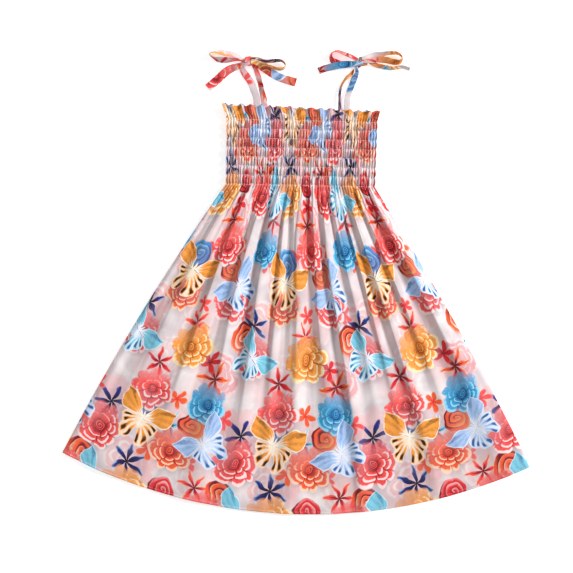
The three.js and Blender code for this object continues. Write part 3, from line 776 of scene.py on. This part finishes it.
def flower_print():
    """The print as a node group: millimetres of flat cloth in, colour out."""
    tree = bpy.data.node_groups.new("Flower print", "ShaderNodeTree")
    tree.interface.new_socket("Cloth place", in_out="INPUT", socket_type="NodeSocketVector")
    tree.interface.new_socket("Colour", in_out="OUTPUT", socket_type="NodeSocketColor")
    start = tree.nodes.new("NodeGroupInput")
    end = tree.nodes.new("NodeGroupOutput")
    place = start.outputs["Cloth place"]
    parts = add_node(tree, "ShaderNodeSeparateXYZ", {0: place})

    bent = split(tree, noise(tree, place, 0.045, 1.5, output="Color").socket)
    u = Flow(tree, parts.outputs["X"]) + (bent[0] - 0.5) * 13
    v = Flow(tree, parts.outputs["Y"]) + (bent[1] - 0.5) * 13

    cloud = noise(tree, place, 0.022, 3.0, 0.6)
    warm = noise(tree, place, 0.014, 2.0, 0.3)
    grain = (noise(tree, place, 0.3, 3.0, 0.4) - 0.5) * 0.3
    ground = blend(cloud.ramp(0.25, 0.7), ink("greige"), ink("milk"))
    ground = blend(warm.ramp(0.42, 0.72, 0, 0.58), ground, ink("blush"))

    # Motifs, how each is drawn, columns, rows, shift across and up, room to roam, how well it
    # covers what is below it, and how dark a shade it throws there
    layers = [
        (GHOSTS, layered_flower, 2, 3, 47, 30, 3, 0.55, 0.0),
        (SPRAYS, leaf_spray, 2, 3, 50, 36, 10, 1.0, 0.25),
        (BLOSSOMS, blossom, 3, 3, 13, 9, 14, 1.0, 0.15),
        (ROSES, spiral_rose, 2, 2, 60, 40, 22, 1.0, 0.3),
        (BIG_FLOWERS, layered_flower, 2, 3, 0, 0, 10, 1.0, 0.5),
        (BUTTERFLIES, butterfly, 2, 2, 47, 62, 12, 1.0, 0.28),
    ]
    for motifs, draw, columns, rows, across, up, roam, strength, shade in layers:
        layer = Layer(u + across, v + up, columns, rows, 0.5, motifs, roam)
        if shade > 0:
            ground = layer.shadow(ground, 1.15, shade)
        cover, tone = draw(layer)
        ground = layer.paint(ground, cover * strength, tone + grain)
    tree.links.new(ground, end.inputs["Colour"])
    return tree


def new_material(name, settings):
    """A material with these settings on its surface: the material, its nodes, its surface."""
    material = bpy.data.materials.new(name)
    material.use_nodes = True
    surface = material.node_tree.nodes["Principled BSDF"]
    for socket, value in settings.items():
        surface.inputs[socket].default_value = value
    return material, material.node_tree, surface


CLOTH_FINISH = {
    "Roughness": 0.82, "Specular IOR Level": 0.25, "Sheen Weight": 0.15, "Sheen Roughness": 0.5,
}
THREAD_FINISH = {"Roughness": 0.6, "Sheen Weight": 0.2}
FLOOR_FINISH = {
    "Base Color": (0.95, 0.95, 0.95, 1), "Emission Color": (1, 1, 1, 1),
    "Emission Strength": 0.5, "Roughness": 0.9, "Specular IOR Level": 0.1,
}
THREAD_PITCH = 0.7


def cloth_material(name, print_tree, shift, weave_strength):
    """Printed plain weave: the print by the cloth's own place, paled by a painted highlight on the gather
    crests, and a fine thread bump.
    """
    material, tree, surface = new_material(name, CLOTH_FINISH)
    uv = tree.nodes.new("ShaderNodeUVMap")
    uv.uv_map = "Cloth"
    to_mm = {"Vector": uv.outputs["UV"], "Scale": (1 / MM, 1 / MM, 1), "Location": shift}
    place = add_node(tree, "ShaderNodeMapping", to_mm).outputs["Vector"]
    pattern = tree.nodes.new("ShaderNodeGroup")
    pattern.node_tree = print_tree
    tree.links.new(place, pattern.inputs["Cloth place"])
    # Painted highlight: the print is blended toward a pale ink where the point attribute marks the gather
    # crests
    stretch = tree.nodes.new("ShaderNodeAttribute")
    stretch.attribute_name = "Painted crest highlight"
    painted_highlight = Flow(tree, stretch.outputs["Fac"]) * 0.62
    colour = blend(painted_highlight, pattern.outputs["Colour"], ink("frost"))
    tree.links.new(colour, surface.inputs["Base Color"])

    parts = add_node(tree, "ShaderNodeSeparateXYZ", {0: place})
    u, v = Flow(tree, parts.outputs["X"]), Flow(tree, parts.outputs["Y"])
    turns = 2 * math.pi / THREAD_PITCH
    threads = (u * turns).sin() * (v * turns).sin()
    height = (threads * 0.4 + noise(tree, place, 0.5, 3.0)).socket
    weave = {"Strength": weave_strength, "Distance": 0.2 * MM, "Height": height}
    bump = add_node(tree, "ShaderNodeBump", weave)
    tree.links.new(bump.outputs["Normal"], surface.inputs["Normal"])
    return material


def thread_material(name, colour):
    material, tree, surface = new_material(name, THREAD_FINISH)
    place = tree.nodes.new("ShaderNodeTexCoord")
    strand = noise(tree, place.outputs["Object"], 900.0)
    dim = (*(0.82 * part for part in ink(colour)[:3]), 1.0)
    shade = blend(strand.ramp(0.3, 0.7), dim, ink(colour))
    tree.links.new(shade, surface.inputs["Base Color"])
    return material


# Ties
TIE_WIDTH = 11.0
TIE_THICK = 1.3
KNOT = {"half_length": 5.5, "half_wide": 5.4, "half_tall": 3.9, "wall": 1.4, "rise": 4.2}
CORE = {"half_length": 8.5, "half_wide": 3.6, "half_tall": 2.1}

# Each strand's route, as in the solids: x, y, height of its lowest edge, turn on edge in
# degrees and width there. Its cut says where on the print it starts and which way it runs.
TIES = {
    "tie_left_back": {
        "knot": (-61.8, 286.7, "core"),
        "cut": {"root": (311, 208, 1), "loop": (203, 350, -1), "end": (62, 152, 1)},
        "root": [
            (-69.6, 285.8, 3.2, 0, 3.4), (-72.2, 280.6, 1.6, 0, 6), (-67.4, 271.4, 0.6, 0, 9),
            (-59.5, 260.0, 0.6, 0, 9.5), (-55.6, 250.5, 1.0, 0, 9.5), (-52.0, 240.1, 2.2, 0, 9.3),
            (-51.2, 232.7, 2.8, 0, 9.2), (-51.1, 223.0, 2.8, 0, 9.0),
        ],
        "loop": [
            (-69.2, 288.4, 3.0, 30, 3.4), (-78.7, 294.6, 0.8, 42, 9), (-91.0, 296.9, 0.6, 44, 11),
            (-100.8, 298.6, 0.5, 54, 11), (-110.5, 298.2, 0.5, 80, 11), (-112.6, 295.4, 0.5, 90, 11),
            (-108.2, 291.4, 0.6, 80, 11), (-101.4, 288.9, 0.8, 56, 11), (-91.0, 288.3, 1.0, 48, 10),
            (-78.7, 289.0, 1.6, 56, 7), (-69.0, 287.6, 3.0, 70, 3),
        ],
        "end": [
            (-54.2, 286.0, 3.2, 0, 4), (-49.4, 281.0, 2.1, 0, 6.6), (-43.0, 277.4, 1.7, 0, 9.2),
            (-36.7, 274.2, 0.8, 0, 10.4), (-29.3, 269.6, 0.3, 0, 10.6), (-21.5, 265.9, 0.2, 0, 10.8),
            (-11.8, 262.6, 0.2, 0, 11), (-0.7, 259.4, 0.2, 0, 11),
        ],
    },
    "tie_left_front": {
        "knot": (-61.8, 286.7, "wrap"),
        "cut": {"root": (30, 35, 1), "loop": (188, 178, -1), "end": (60, 85, -1)},
        "root": [
            (-58.6, 286.0, 0.15, 0, 3.6), (-54.2, 278.4, 0.15, 0, 5.5), (-50.2, 268.8, 0.2, 2, 7),
            (-47.1, 258.2, 0.6, 36, 8), (-45.2, 248.7, 1.0, 30, 8), (-42.6, 238.6, 2.4, 8, 8),
            (-41.6, 231.6, 2.8, 0, 8), (-41.4, 223.0, 2.8, 0, 8),
        ],
        "loop": [
            (-58.6, 288.8, 7.1, 10, 4.6), (-52.7, 288.6, 7.2, 18, 7), (-44.0, 286.4, 5.0, 50, 9),
            (-36.7, 286.0, 3.4, 66, 10), (-27.0, 287.0, 2.2, 74, 11), (-19.0, 286.6, 1.8, 82, 11),
            (-14.4, 281.6, 1.8, 90, 11), (-17.0, 276.8, 1.8, 100, 11), (-25.0, 276.6, 2.0, 106, 11),
            (-36.7, 279.8, 3.2, 108, 10), (-46.0, 282.4, 5.4, 130, 8), (-53.0, 284.6, 7.3, 170, 6.4),
            (-59.3, 284.8, 7.15, 176, 4.8),
        ],
        "end": [
            (-60.4, 284.4, 7.2, 0, 5), (-67.6, 282.0, 7.0, 0, 5.4), (-76.0, 279.8, 4.4, 0, 8.2),
            (-84.9, 277.0, 2.0, 0, 10.6), (-93.0, 271.8, 0.8, 0, 11), (-102.1, 263.4, 0.3, 0, 11),
            (-108.6, 257.8, 0.2, 0, 11), (-115.1, 252.2, 0.2, 0, 11),
        ],
    },
    "tie_right_back": {
        "knot": (86.5, 286.7, "core"),
        "cut": {"root": (190, -2, 1), "loop": (52, 85, -1), "end": (182, 122, -1)},
        "root": [
            (78.8, 285.4, 3.2, 0, 3.6), (77.6, 278.4, 2.0, 0, 5.4), (77.4, 271.4, 2.0, 0, 7.2),
            (75.0, 263.9, 1.3, 6, 8), (71.4, 254.4, 0.6, 15, 8), (67.9, 244.8, 1.4, 10, 8),
            (66.4, 237.3, 2.6, 0, 7.9), (65.3, 222.0, 2.6, 0, 7.9),
        ],
        "loop": [
            (79.2, 288.4, 3.0, 20, 3.4), (70.9, 292.7, 1.4, 50, 8), (60.5, 297.0, 0.8, 64, 10),
            (52.7, 299.6, 0.6, 74, 11), (46.6, 297.6, 0.5, 84, 11), (44.6, 292.5, 0.5, 70, 10.5),
            (46.8, 287.6, 0.4, 40, 9), (54.0, 284.6, 0.3, 8, 8), (64.4, 283.0, 0.3, 0, 7),
            (72.6, 284.4, 1.2, 0, 5), (78.9, 286.4, 3.2, 0, 3.4),
        ],
        "end": [
            (94.0, 286.2, 3.2, 0, 4), (101.0, 282.4, 1.4, 6, 5.6), (112.8, 279.4, 0.4, 34, 6.6),
            (125.5, 277.4, 0.3, 62, 7), (136.8, 279.4, 0.3, 60, 7), (147.2, 276.3, 0.3, 55, 7),
        ],
    },
    "tie_right_front": {
        "knot": (86.5, 286.7, "wrap"),
        "cut": {"root": (188, 95, 1), "loop": (36, 256, 1), "end": (90, 222, 1)},
        "root": [
            (85.4, 283.8, 0.1, 0, 4), (78.6, 278.2, 0.1, 0, 4), (71.2, 270.6, 0.1, 4, 4.4),
            (63.6, 262.9, 0.3, 62, 5.5), (58.5, 254.3, 0.5, 68, 5.5), (56.4, 244.7, 1.0, 64, 5.5),
            (56.2, 233.4, 1.8, 58, 5.5), (56.4, 222.4, 2.1, 10, 5.5),
        ],
        "loop": [
            (84.3, 289.2, 7.1, 8, 4.6), (91.0, 291.4, 7.3, 14, 6.6), (99.0, 294.0, 5.4, 34, 8),
            (108.2, 295.2, 3.2, 56, 9.5), (122.5, 297.0, 2.2, 70, 11), (132.0, 296.0, 1.8, 80, 11),
            (137.2, 290.6, 1.6, 94, 11), (133.8, 285.4, 1.6, 112, 11), (126.6, 285.4, 1.8, 124, 11),
            (116.0, 287.8, 2.6, 134, 11), (105.0, 288.4, 4.6, 150, 9), (93.6, 286.6, 7.3, 172, 6.4),
            (84.7, 286.2, 7.15, 178, 4.8),
        ],
        "end": [
            (86.0, 285.0, 7.2, 0, 5), (79.8, 283.0, 7.2, 0, 6), (71.0, 282.4, 5.2, 0, 8),
            (63.3, 282.4, 3.2, 0, 9.1), (52.0, 280.6, 4.0, 0, 9.1), (42.0, 278.6, 1.8, 0, 9.1),
            (36.7, 277.4, 0.4, 0, 9.1), (29.0, 274.3, 0.2, 0, 9.1),
        ],
    },
}


# Sizes of the stitches, and how far they stand off the cloth
ELASTIC_BARS = {"Spacing": 3.4, "Stitch length": 2.7, "Thread width": 0.55}
HEM_BARS = {"Spacing": 2.8, "Stitch length": 2.1, "Thread width": 0.4}
STAND_OFF = 0.12


def along_rows(rows, shares):
    """Smooth values at shares along a table of rows, through every row."""
    table = np.array(rows, dtype=float)
    last = len(table) - 1
    place = np.clip(shares, 0, 1) * last
    index = np.minimum(np.floor(place).astype(int), last - 1)
    t = (place - index)[:, None]
    a, b = table[np.maximum(index - 1, 0)], table[index]
    c, d = table[index + 1], table[np.minimum(index + 2, last)]
    curve = (2 * a - 5 * b + 4 * c - d) * t**2 + (3 * b - a - 3 * c + d) * t**3
    return b + 0.5 * ((c - a) * t + curve)


# Section of the folded tie: rounded fold edges, a sunk topstitch beside each, a slight crown.
# Each row is a share of the half width and of the half thickness.
TIE_SECTION = [
    (1.0, 0.0), (0.97, 0.62), (0.9, 0.92), (0.78, 0.78), (0.62, 0.98), (0.3, 1.08), (0.0, 1.1),
    (-0.3, 1.08), (-0.62, 0.98), (-0.78, 0.78), (-0.9, 0.92), (-0.97, 0.62), (-1.0, 0.0),
    (-0.97, -0.62), (-0.9, -0.92), (-0.6, -1.0), (0.0, -1.05), (0.6, -1.0), (0.9, -0.92),
    (0.97, -0.62),
]


def strand_rings(rows, steps, seed, print_at):
    """Rings of one run of a tie, their places on the cloth, and the run's length."""
    shares = np.linspace(0, 1, steps + 1)
    table = along_rows(rows, shares)
    ahead = along_rows(rows, np.minimum(shares + 0.012, 1))
    behind = along_rows(rows, np.maximum(shares - 0.012, 0))
    direction = ahead[:, :2] - behind[:, :2]
    direction /= np.linalg.norm(direction, axis=1)[:, None]
    sideways = np.stack([-direction[:, 1], direction[:, 0], np.zeros(len(shares))], axis=1)
    up = np.array([0, 0, 1.0])
    turn = np.radians(table[:, 3])[:, None]
    turn = turn + np.radians(5) * uneven(seed, 9 * shares)[:, None]
    widthways = sideways * np.cos(turn) + up * np.sin(turn)
    outwards = -sideways * np.sin(turn) + up * np.cos(turn)
    half = table[:, 4] / 2
    reach = half * np.abs(np.sin(turn[:, 0])) + 0.5 * TIE_THICK * np.abs(np.cos(turn[:, 0]))
    centre = np.stack([table[:, 0], table[:, 1], table[:, 2] + reach], axis=1)
    run = np.concatenate([[0], np.cumsum(np.linalg.norm(np.diff(centre, axis=0), axis=1))])
    pinch = np.clip(1 - half / (TIE_WIDTH / 2), 0, 1)
    first_u, first_v, way = print_at
    rings, prints = [], []
    for number in range(steps + 1):
        ring, spots = [], []
        swell = 1 + 0.9 * pinch[number]
        for wide, thick in TIE_SECTION:
            crease = pinch[number] * 0.55 * math.sin(9.0 * wide + seed)
            crease = crease + 0.07 * math.sin(2.2 * run[number] + 3 * wide)
            out = thick * swell + crease * (thick > -0.5)
            offset = widthways[number] * (wide * half[number])
            offset = offset + outwards[number] * out * TIE_THICK / 2
            point = centre[number] + offset
            ring.append([point[0], point[1], max(point[2], 0.02)])
            across = wide * TIE_WIDTH / 2 + (0 if thick >= 0 else TIE_WIDTH)
            spots.append([first_u + across, first_v + way * run[number]])
        rings.append(ring)
        prints.append(spots)
    return rings, prints, run[-1]


def oval(x, y, height, half_wide, half_tall, corners, wrinkle, seed):
    angles = 2 * math.pi * (np.arange(corners) + 0.5) / corners
    grow = 1 + wrinkle * np.sin(5 * angles + seed) + 0.6 * wrinkle * np.sin(11 * angles + 2 * seed)
    wide = y + half_wide * grow * np.cos(angles)
    tall = height + half_tall * grow * np.sin(angles)
    return np.stack([np.full(corners, x), wide, tall], axis=1).tolist()


class Tube:
    """Closed tubes of rings, gathered into one mesh."""

    def __init__(self):
        self.places, self.faces, self.prints = [], [], []

    def add(self, rings, prints, ring_closed=False):
        base, sides = len(self.places), len(rings[0])
        for ring, spots in zip(rings, prints):
            self.places.extend(ring)
            self.prints.extend(spots)
        count = len(rings)
        spans = count if ring_closed else count - 1
        for number in range(spans):
            here, there = base + number * sides, base + ((number + 1) % count) * sides
            for side in range(sides):
                step = (side + 1) % sides
                self.faces.append([here + side, here + step, there + step, there + side])
        if not ring_closed:
            self.faces.append([base + side for side in range(sides)][::-1])
            last = base + (count - 1) * sides
            self.faces.append([last + side for side in range(sides)])


def knot_core_rings(x, y, print_at):
    """The bunched strand inside the knot."""
    corners, wrinkle, seed = 24, 0.05, 1.3
    rings, prints = [], []
    for step in np.linspace(-1, 1, 13):
        size = (1 - 0.45 * abs(step) ** 6) * (1 + 0.04 * math.sin(7 * step))
        wide, tall = CORE["half_wide"] * size, CORE["half_tall"] * size
        middle = x + step * CORE["half_length"]
        rings.append(oval(middle, y, KNOT["rise"], wide, tall, corners, wrinkle, seed))
        prints.append([[print_at[0] + 0.8 * at, print_at[1] + 6 * step] for at in range(corners)])
    return rings, prints


def knot_wrap_rings(x, y, print_at):
    """The band that wraps the knot: a crumpled strip round it, thick at both rolled edges."""
    corners, outline = 40, []
    for share in np.linspace(-1, 1, 15):
        outline.append((share, 0.35 * (1 - share**2) + 0.16 * math.sin(6.5 * share + 0.7)))
    angles = 2 * math.pi * np.arange(corners) / corners
    loops, prints = [], []
    for outside, way in ((True, 1), (False, -1)):
        for share, bulge in outline[::way]:
            out = 0.5 + 1.1 * bulge - 0.5 * abs(share) ** 6 if outside else -KNOT["wall"] + 0.1
            ripple = 0.16 * np.sin(3 * angles + 2.5 * share) + 0.1 * np.sin(7 * angles - 4 * share)
            grow = out + ripple * outside
            slant = 0.9 * np.sin(angles + 0.6)
            middle = x + share * KNOT["half_length"] + slant * outside * 0.5
            wide = y + (KNOT["half_wide"] + grow) * np.cos(angles)
            tall = KNOT["half_tall"] - 0.5 + np.minimum(grow, 0.42)
            height = KNOT["rise"] + tall * np.sin(angles)
            loops.append(np.stack([middle, wide, height], axis=1).tolist())
            start_u, start_v = print_at[0] + 6 * share, print_at[1]
            prints.append([[start_u, start_v + 0.9 * at] for at in range(corners)])
    return loops, prints


def tie_piece(name, facts, material, seed):
    """One strand of a bow with its share of the knot, and its length in metres."""
    tube = Tube()
    total = 0.0
    for part, steps in (("root", 60), ("loop", 110), ("end", 64)):
        rings, prints, run = strand_rings(facts[part], steps, seed + len(part), facts["cut"][part])
        tube.add(rings, prints)
        total += run
    x, y, kind = facts["knot"]
    if kind == "core":
        rings, prints = knot_core_rings(x, y, facts["cut"]["root"])
        tube.add(rings, prints)
    else:
        rings, prints = knot_wrap_rings(x, y, facts["cut"]["root"])
        tube.add(rings, prints, ring_closed=True)
        total += 2 * math.pi * KNOT["half_wide"]
    places, spots = np.array(tube.places) * MM, np.array(tube.prints) * MM
    return mesh_object(name + "_cloth", places, tube.faces, material, spots), total * MM


def stitch_tree():
    """Short thread bars along lines: the stitches of the elastic rows and hems."""
    tree = bpy.data.node_groups.new("Stitches", "GeometryNodeTree")
    sockets = [("Lines", "Geometry"), ("Thread", "Material")]
    sockets += [(size, "Float") for size in ELASTIC_BARS]
    for name, kind in sockets:
        tree.interface.new_socket(name, in_out="INPUT", socket_type="NodeSocket" + kind)
    tree.interface.new_socket("Stitches", in_out="OUTPUT", socket_type="NodeSocketGeometry")
    start, end, curve, points, bar, scale, place, real, finish = (
        tree.nodes.new(kind)
        for kind in (
            "NodeGroupInput", "NodeGroupOutput", "GeometryNodeMeshToCurve",
            "GeometryNodeCurveToPoints", "GeometryNodeMeshUVSphere", "ShaderNodeCombineXYZ",
            "GeometryNodeInstanceOnPoints", "GeometryNodeRealizeInstances",
            "GeometryNodeSetMaterial",
        )
    )
    points.mode = "LENGTH"
    for name, value in (("Segments", 6), ("Rings", 4), ("Radius", 0.5)):
        bar.inputs[name].default_value = value
    for source, out, target, into in (
        (start, "Lines", curve, "Mesh"),
        (curve, "Curve", points, "Curve"),
        (start, "Spacing", points, "Length"),
        (start, "Thread width", scale, "X"),
        (start, "Thread width", scale, "Y"),
        (start, "Stitch length", scale, "Z"),
        (points, "Points", place, "Points"),
        (points, "Rotation", place, "Rotation"),
        (bar, "Mesh", place, "Instance"),
        (scale, "Vector", place, "Scale"),
        (place, "Instances", real, "Geometry"),
        (real, "Geometry", finish, "Geometry"),
        (start, "Thread", finish, "Material"),
        (finish, "Geometry", end, "Stitches"),
    ):
        tree.links.new(source.outputs[out], target.inputs[into])
    return tree


def stitches(name, lines, tree, sizes, thread):
    """Makes stitches along lines of points in millimetres, as one plain mesh."""
    places, edges = [], []
    for line in lines:
        base = len(places)
        places.extend((np.asarray(line) * MM).tolist())
        edges.extend([(base + at, base + at + 1) for at in range(len(line) - 1)])
    mesh = bpy.data.meshes.new(name + "_lines")
    mesh.from_pydata(places, edges, [])
    lines_object = place_object(name + "_lines", mesh)
    modifier = lines_object.modifiers.new("Stitches", "NODES")
    modifier.node_group = tree
    values = {"Thread": thread} | {socket: size * MM for socket, size in sizes.items()}
    for item in tree.interface.items_tree:
        if item.in_out == "INPUT" and item.name in values:
            modifier[item.identifier] = values[item.name]
    bpy.context.view_layer.update()
    evaluated = lines_object.evaluated_get(bpy.context.evaluated_depsgraph_get())
    finished = bpy.data.meshes.new_from_object(evaluated)
    lines_object.modifiers.clear()
    bpy.data.objects.remove(lines_object)
    finished.name = name
    finished.polygons.foreach_set("use_smooth", [True] * len(finished.polygons))
    return place_object(name, finished)


def crest_lines(line, lift):
    """A line that rides over the crests of the gathers, a little above the cloth."""
    x, y, z = line.T
    keep = np.r_[True, (z[1:-1] >= z[:-2]) & (z[1:-1] >= z[2:]), True]
    return np.stack([x[keep], y[keep], z[keep] + lift], axis=1)


# The photograph's frame, the camera over the dress, and the floor's half width and drop
PHOTO_PIXELS, PIXEL = 573, 1.3
CAMERA = {"x": -13.0, "y": -5.85, "distance": 2.6, "sensor": 36}
FLOOR_REACH, FLOOR_DROP = 20.0, 0.0004


def softbox(name, place, wide, power):
    """A square soft light at a place in metres, aimed at the middle of the dress."""
    light = bpy.data.lights.new(name, "AREA")
    light.shape = "SQUARE"
    light.size = wide
    light.energy = power
    lamp = place_object(name, light)
    lamp.location = place
    aim = -np.array(place)
    flat = math.hypot(aim[0], aim[1])
    lamp.rotation_euler = (math.atan2(flat, -aim[2]), 0, math.atan2(aim[1], aim[0]) - math.pi / 2)


def studio():
    """A plain pale floor, soft even light and the camera straight above."""
    scene = bpy.context.scene
    floor_mesh = bpy.data.meshes.new("floor")
    corners = [(x * FLOOR_REACH, y * FLOOR_REACH, 0) for x, y in ((-1, -1), (1, -1), (1, 1), (-1, 1))]
    floor_mesh.from_pydata(corners, [], [(0, 1, 2, 3)])
    floor_mesh.materials.append(new_material("Pale floor", FLOOR_FINISH)[0])
    floor = place_object("floor", floor_mesh)
    floor.location.z = -FLOOR_DROP

    world = bpy.data.worlds.new("Studio")
    world.use_nodes = True
    world.node_tree.nodes["Background"].inputs["Color"].default_value = (1, 1, 1, 1)
    world.node_tree.nodes["Background"].inputs["Strength"].default_value = 0.42
    scene.world = world
    softbox("key", (10.4, 4.0, 7.0), 3.4, 1850)
    softbox("fill", (-2.4, 1.4, 3.4), 1.8, 18)

    camera_data = bpy.data.cameras.new("Camera")
    camera_data.sensor_width = CAMERA["sensor"]
    camera_data.lens = CAMERA["sensor"] * CAMERA["distance"] / (PHOTO_PIXELS * PIXEL * MM)
    camera = place_object("Camera", camera_data)
    camera.location = (CAMERA["x"] * MM, CAMERA["y"] * MM, CAMERA["distance"])
    scene.camera = camera
    scene.view_settings.view_transform = "Standard"


studio()
print_tree = flower_print()
panel_cloth = cloth_material("Printed cloth", print_tree, (31.0, 101.0, 0.0), 0.35)
back_cloth = cloth_material("Printed cloth of the back", print_tree, (84.0, 61.0, 0.0), 0.35)
tie_cloth = cloth_material("Printed tie cloth", print_tree, (0.0, 0.0, 0.0), 0.3)
white_thread = thread_material("White elastic thread", "frost")
hem_thread = thread_material("Rose hem thread", "pink")

front, front_lines = front_piece(panel_cloth)
back, back_lines = back_piece(back_cloth)

bars = stitch_tree()
over, under = np.array([0, 0, STAND_OFF]), np.array([1, 1, -1])
elastic = [crest_lines(line, STAND_OFF) for line in front_lines[:-1]]
front_elastic = stitches("front_elastic_stitches", elastic, bars, ELASTIC_BARS, white_thread)
front_hem = stitches("front_hem_stitches", [front_lines[-1] + over], bars, HEM_BARS, hem_thread)
elastic = [crest_lines(line * under, STAND_OFF) * under for line in back_lines[:-1]]
back_elastic = stitches("back_elastic_stitches", elastic, bars, ELASTIC_BARS, white_thread)
back_hem_line = back_lines[-1] - [0, 0, 0.1]
back_hem = stitches("back_hem_stitches", [back_hem_line], bars, HEM_BARS, hem_thread)

ties = []
for number, (node, facts) in enumerate(TIES.items()):
    piece, length = tie_piece(node, facts, tie_cloth, 3 + number)
    ties.append((node, piece, length))

for piece, node in ((front, "front_panel"), (back, "back_panel")):
    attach(piece, "root")
    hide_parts(node)
for piece in (front_elastic, front_hem, back_elastic, back_hem):
    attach(piece, "root")
for node, piece, length in ties:
    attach(piece, "root")
    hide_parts(node)
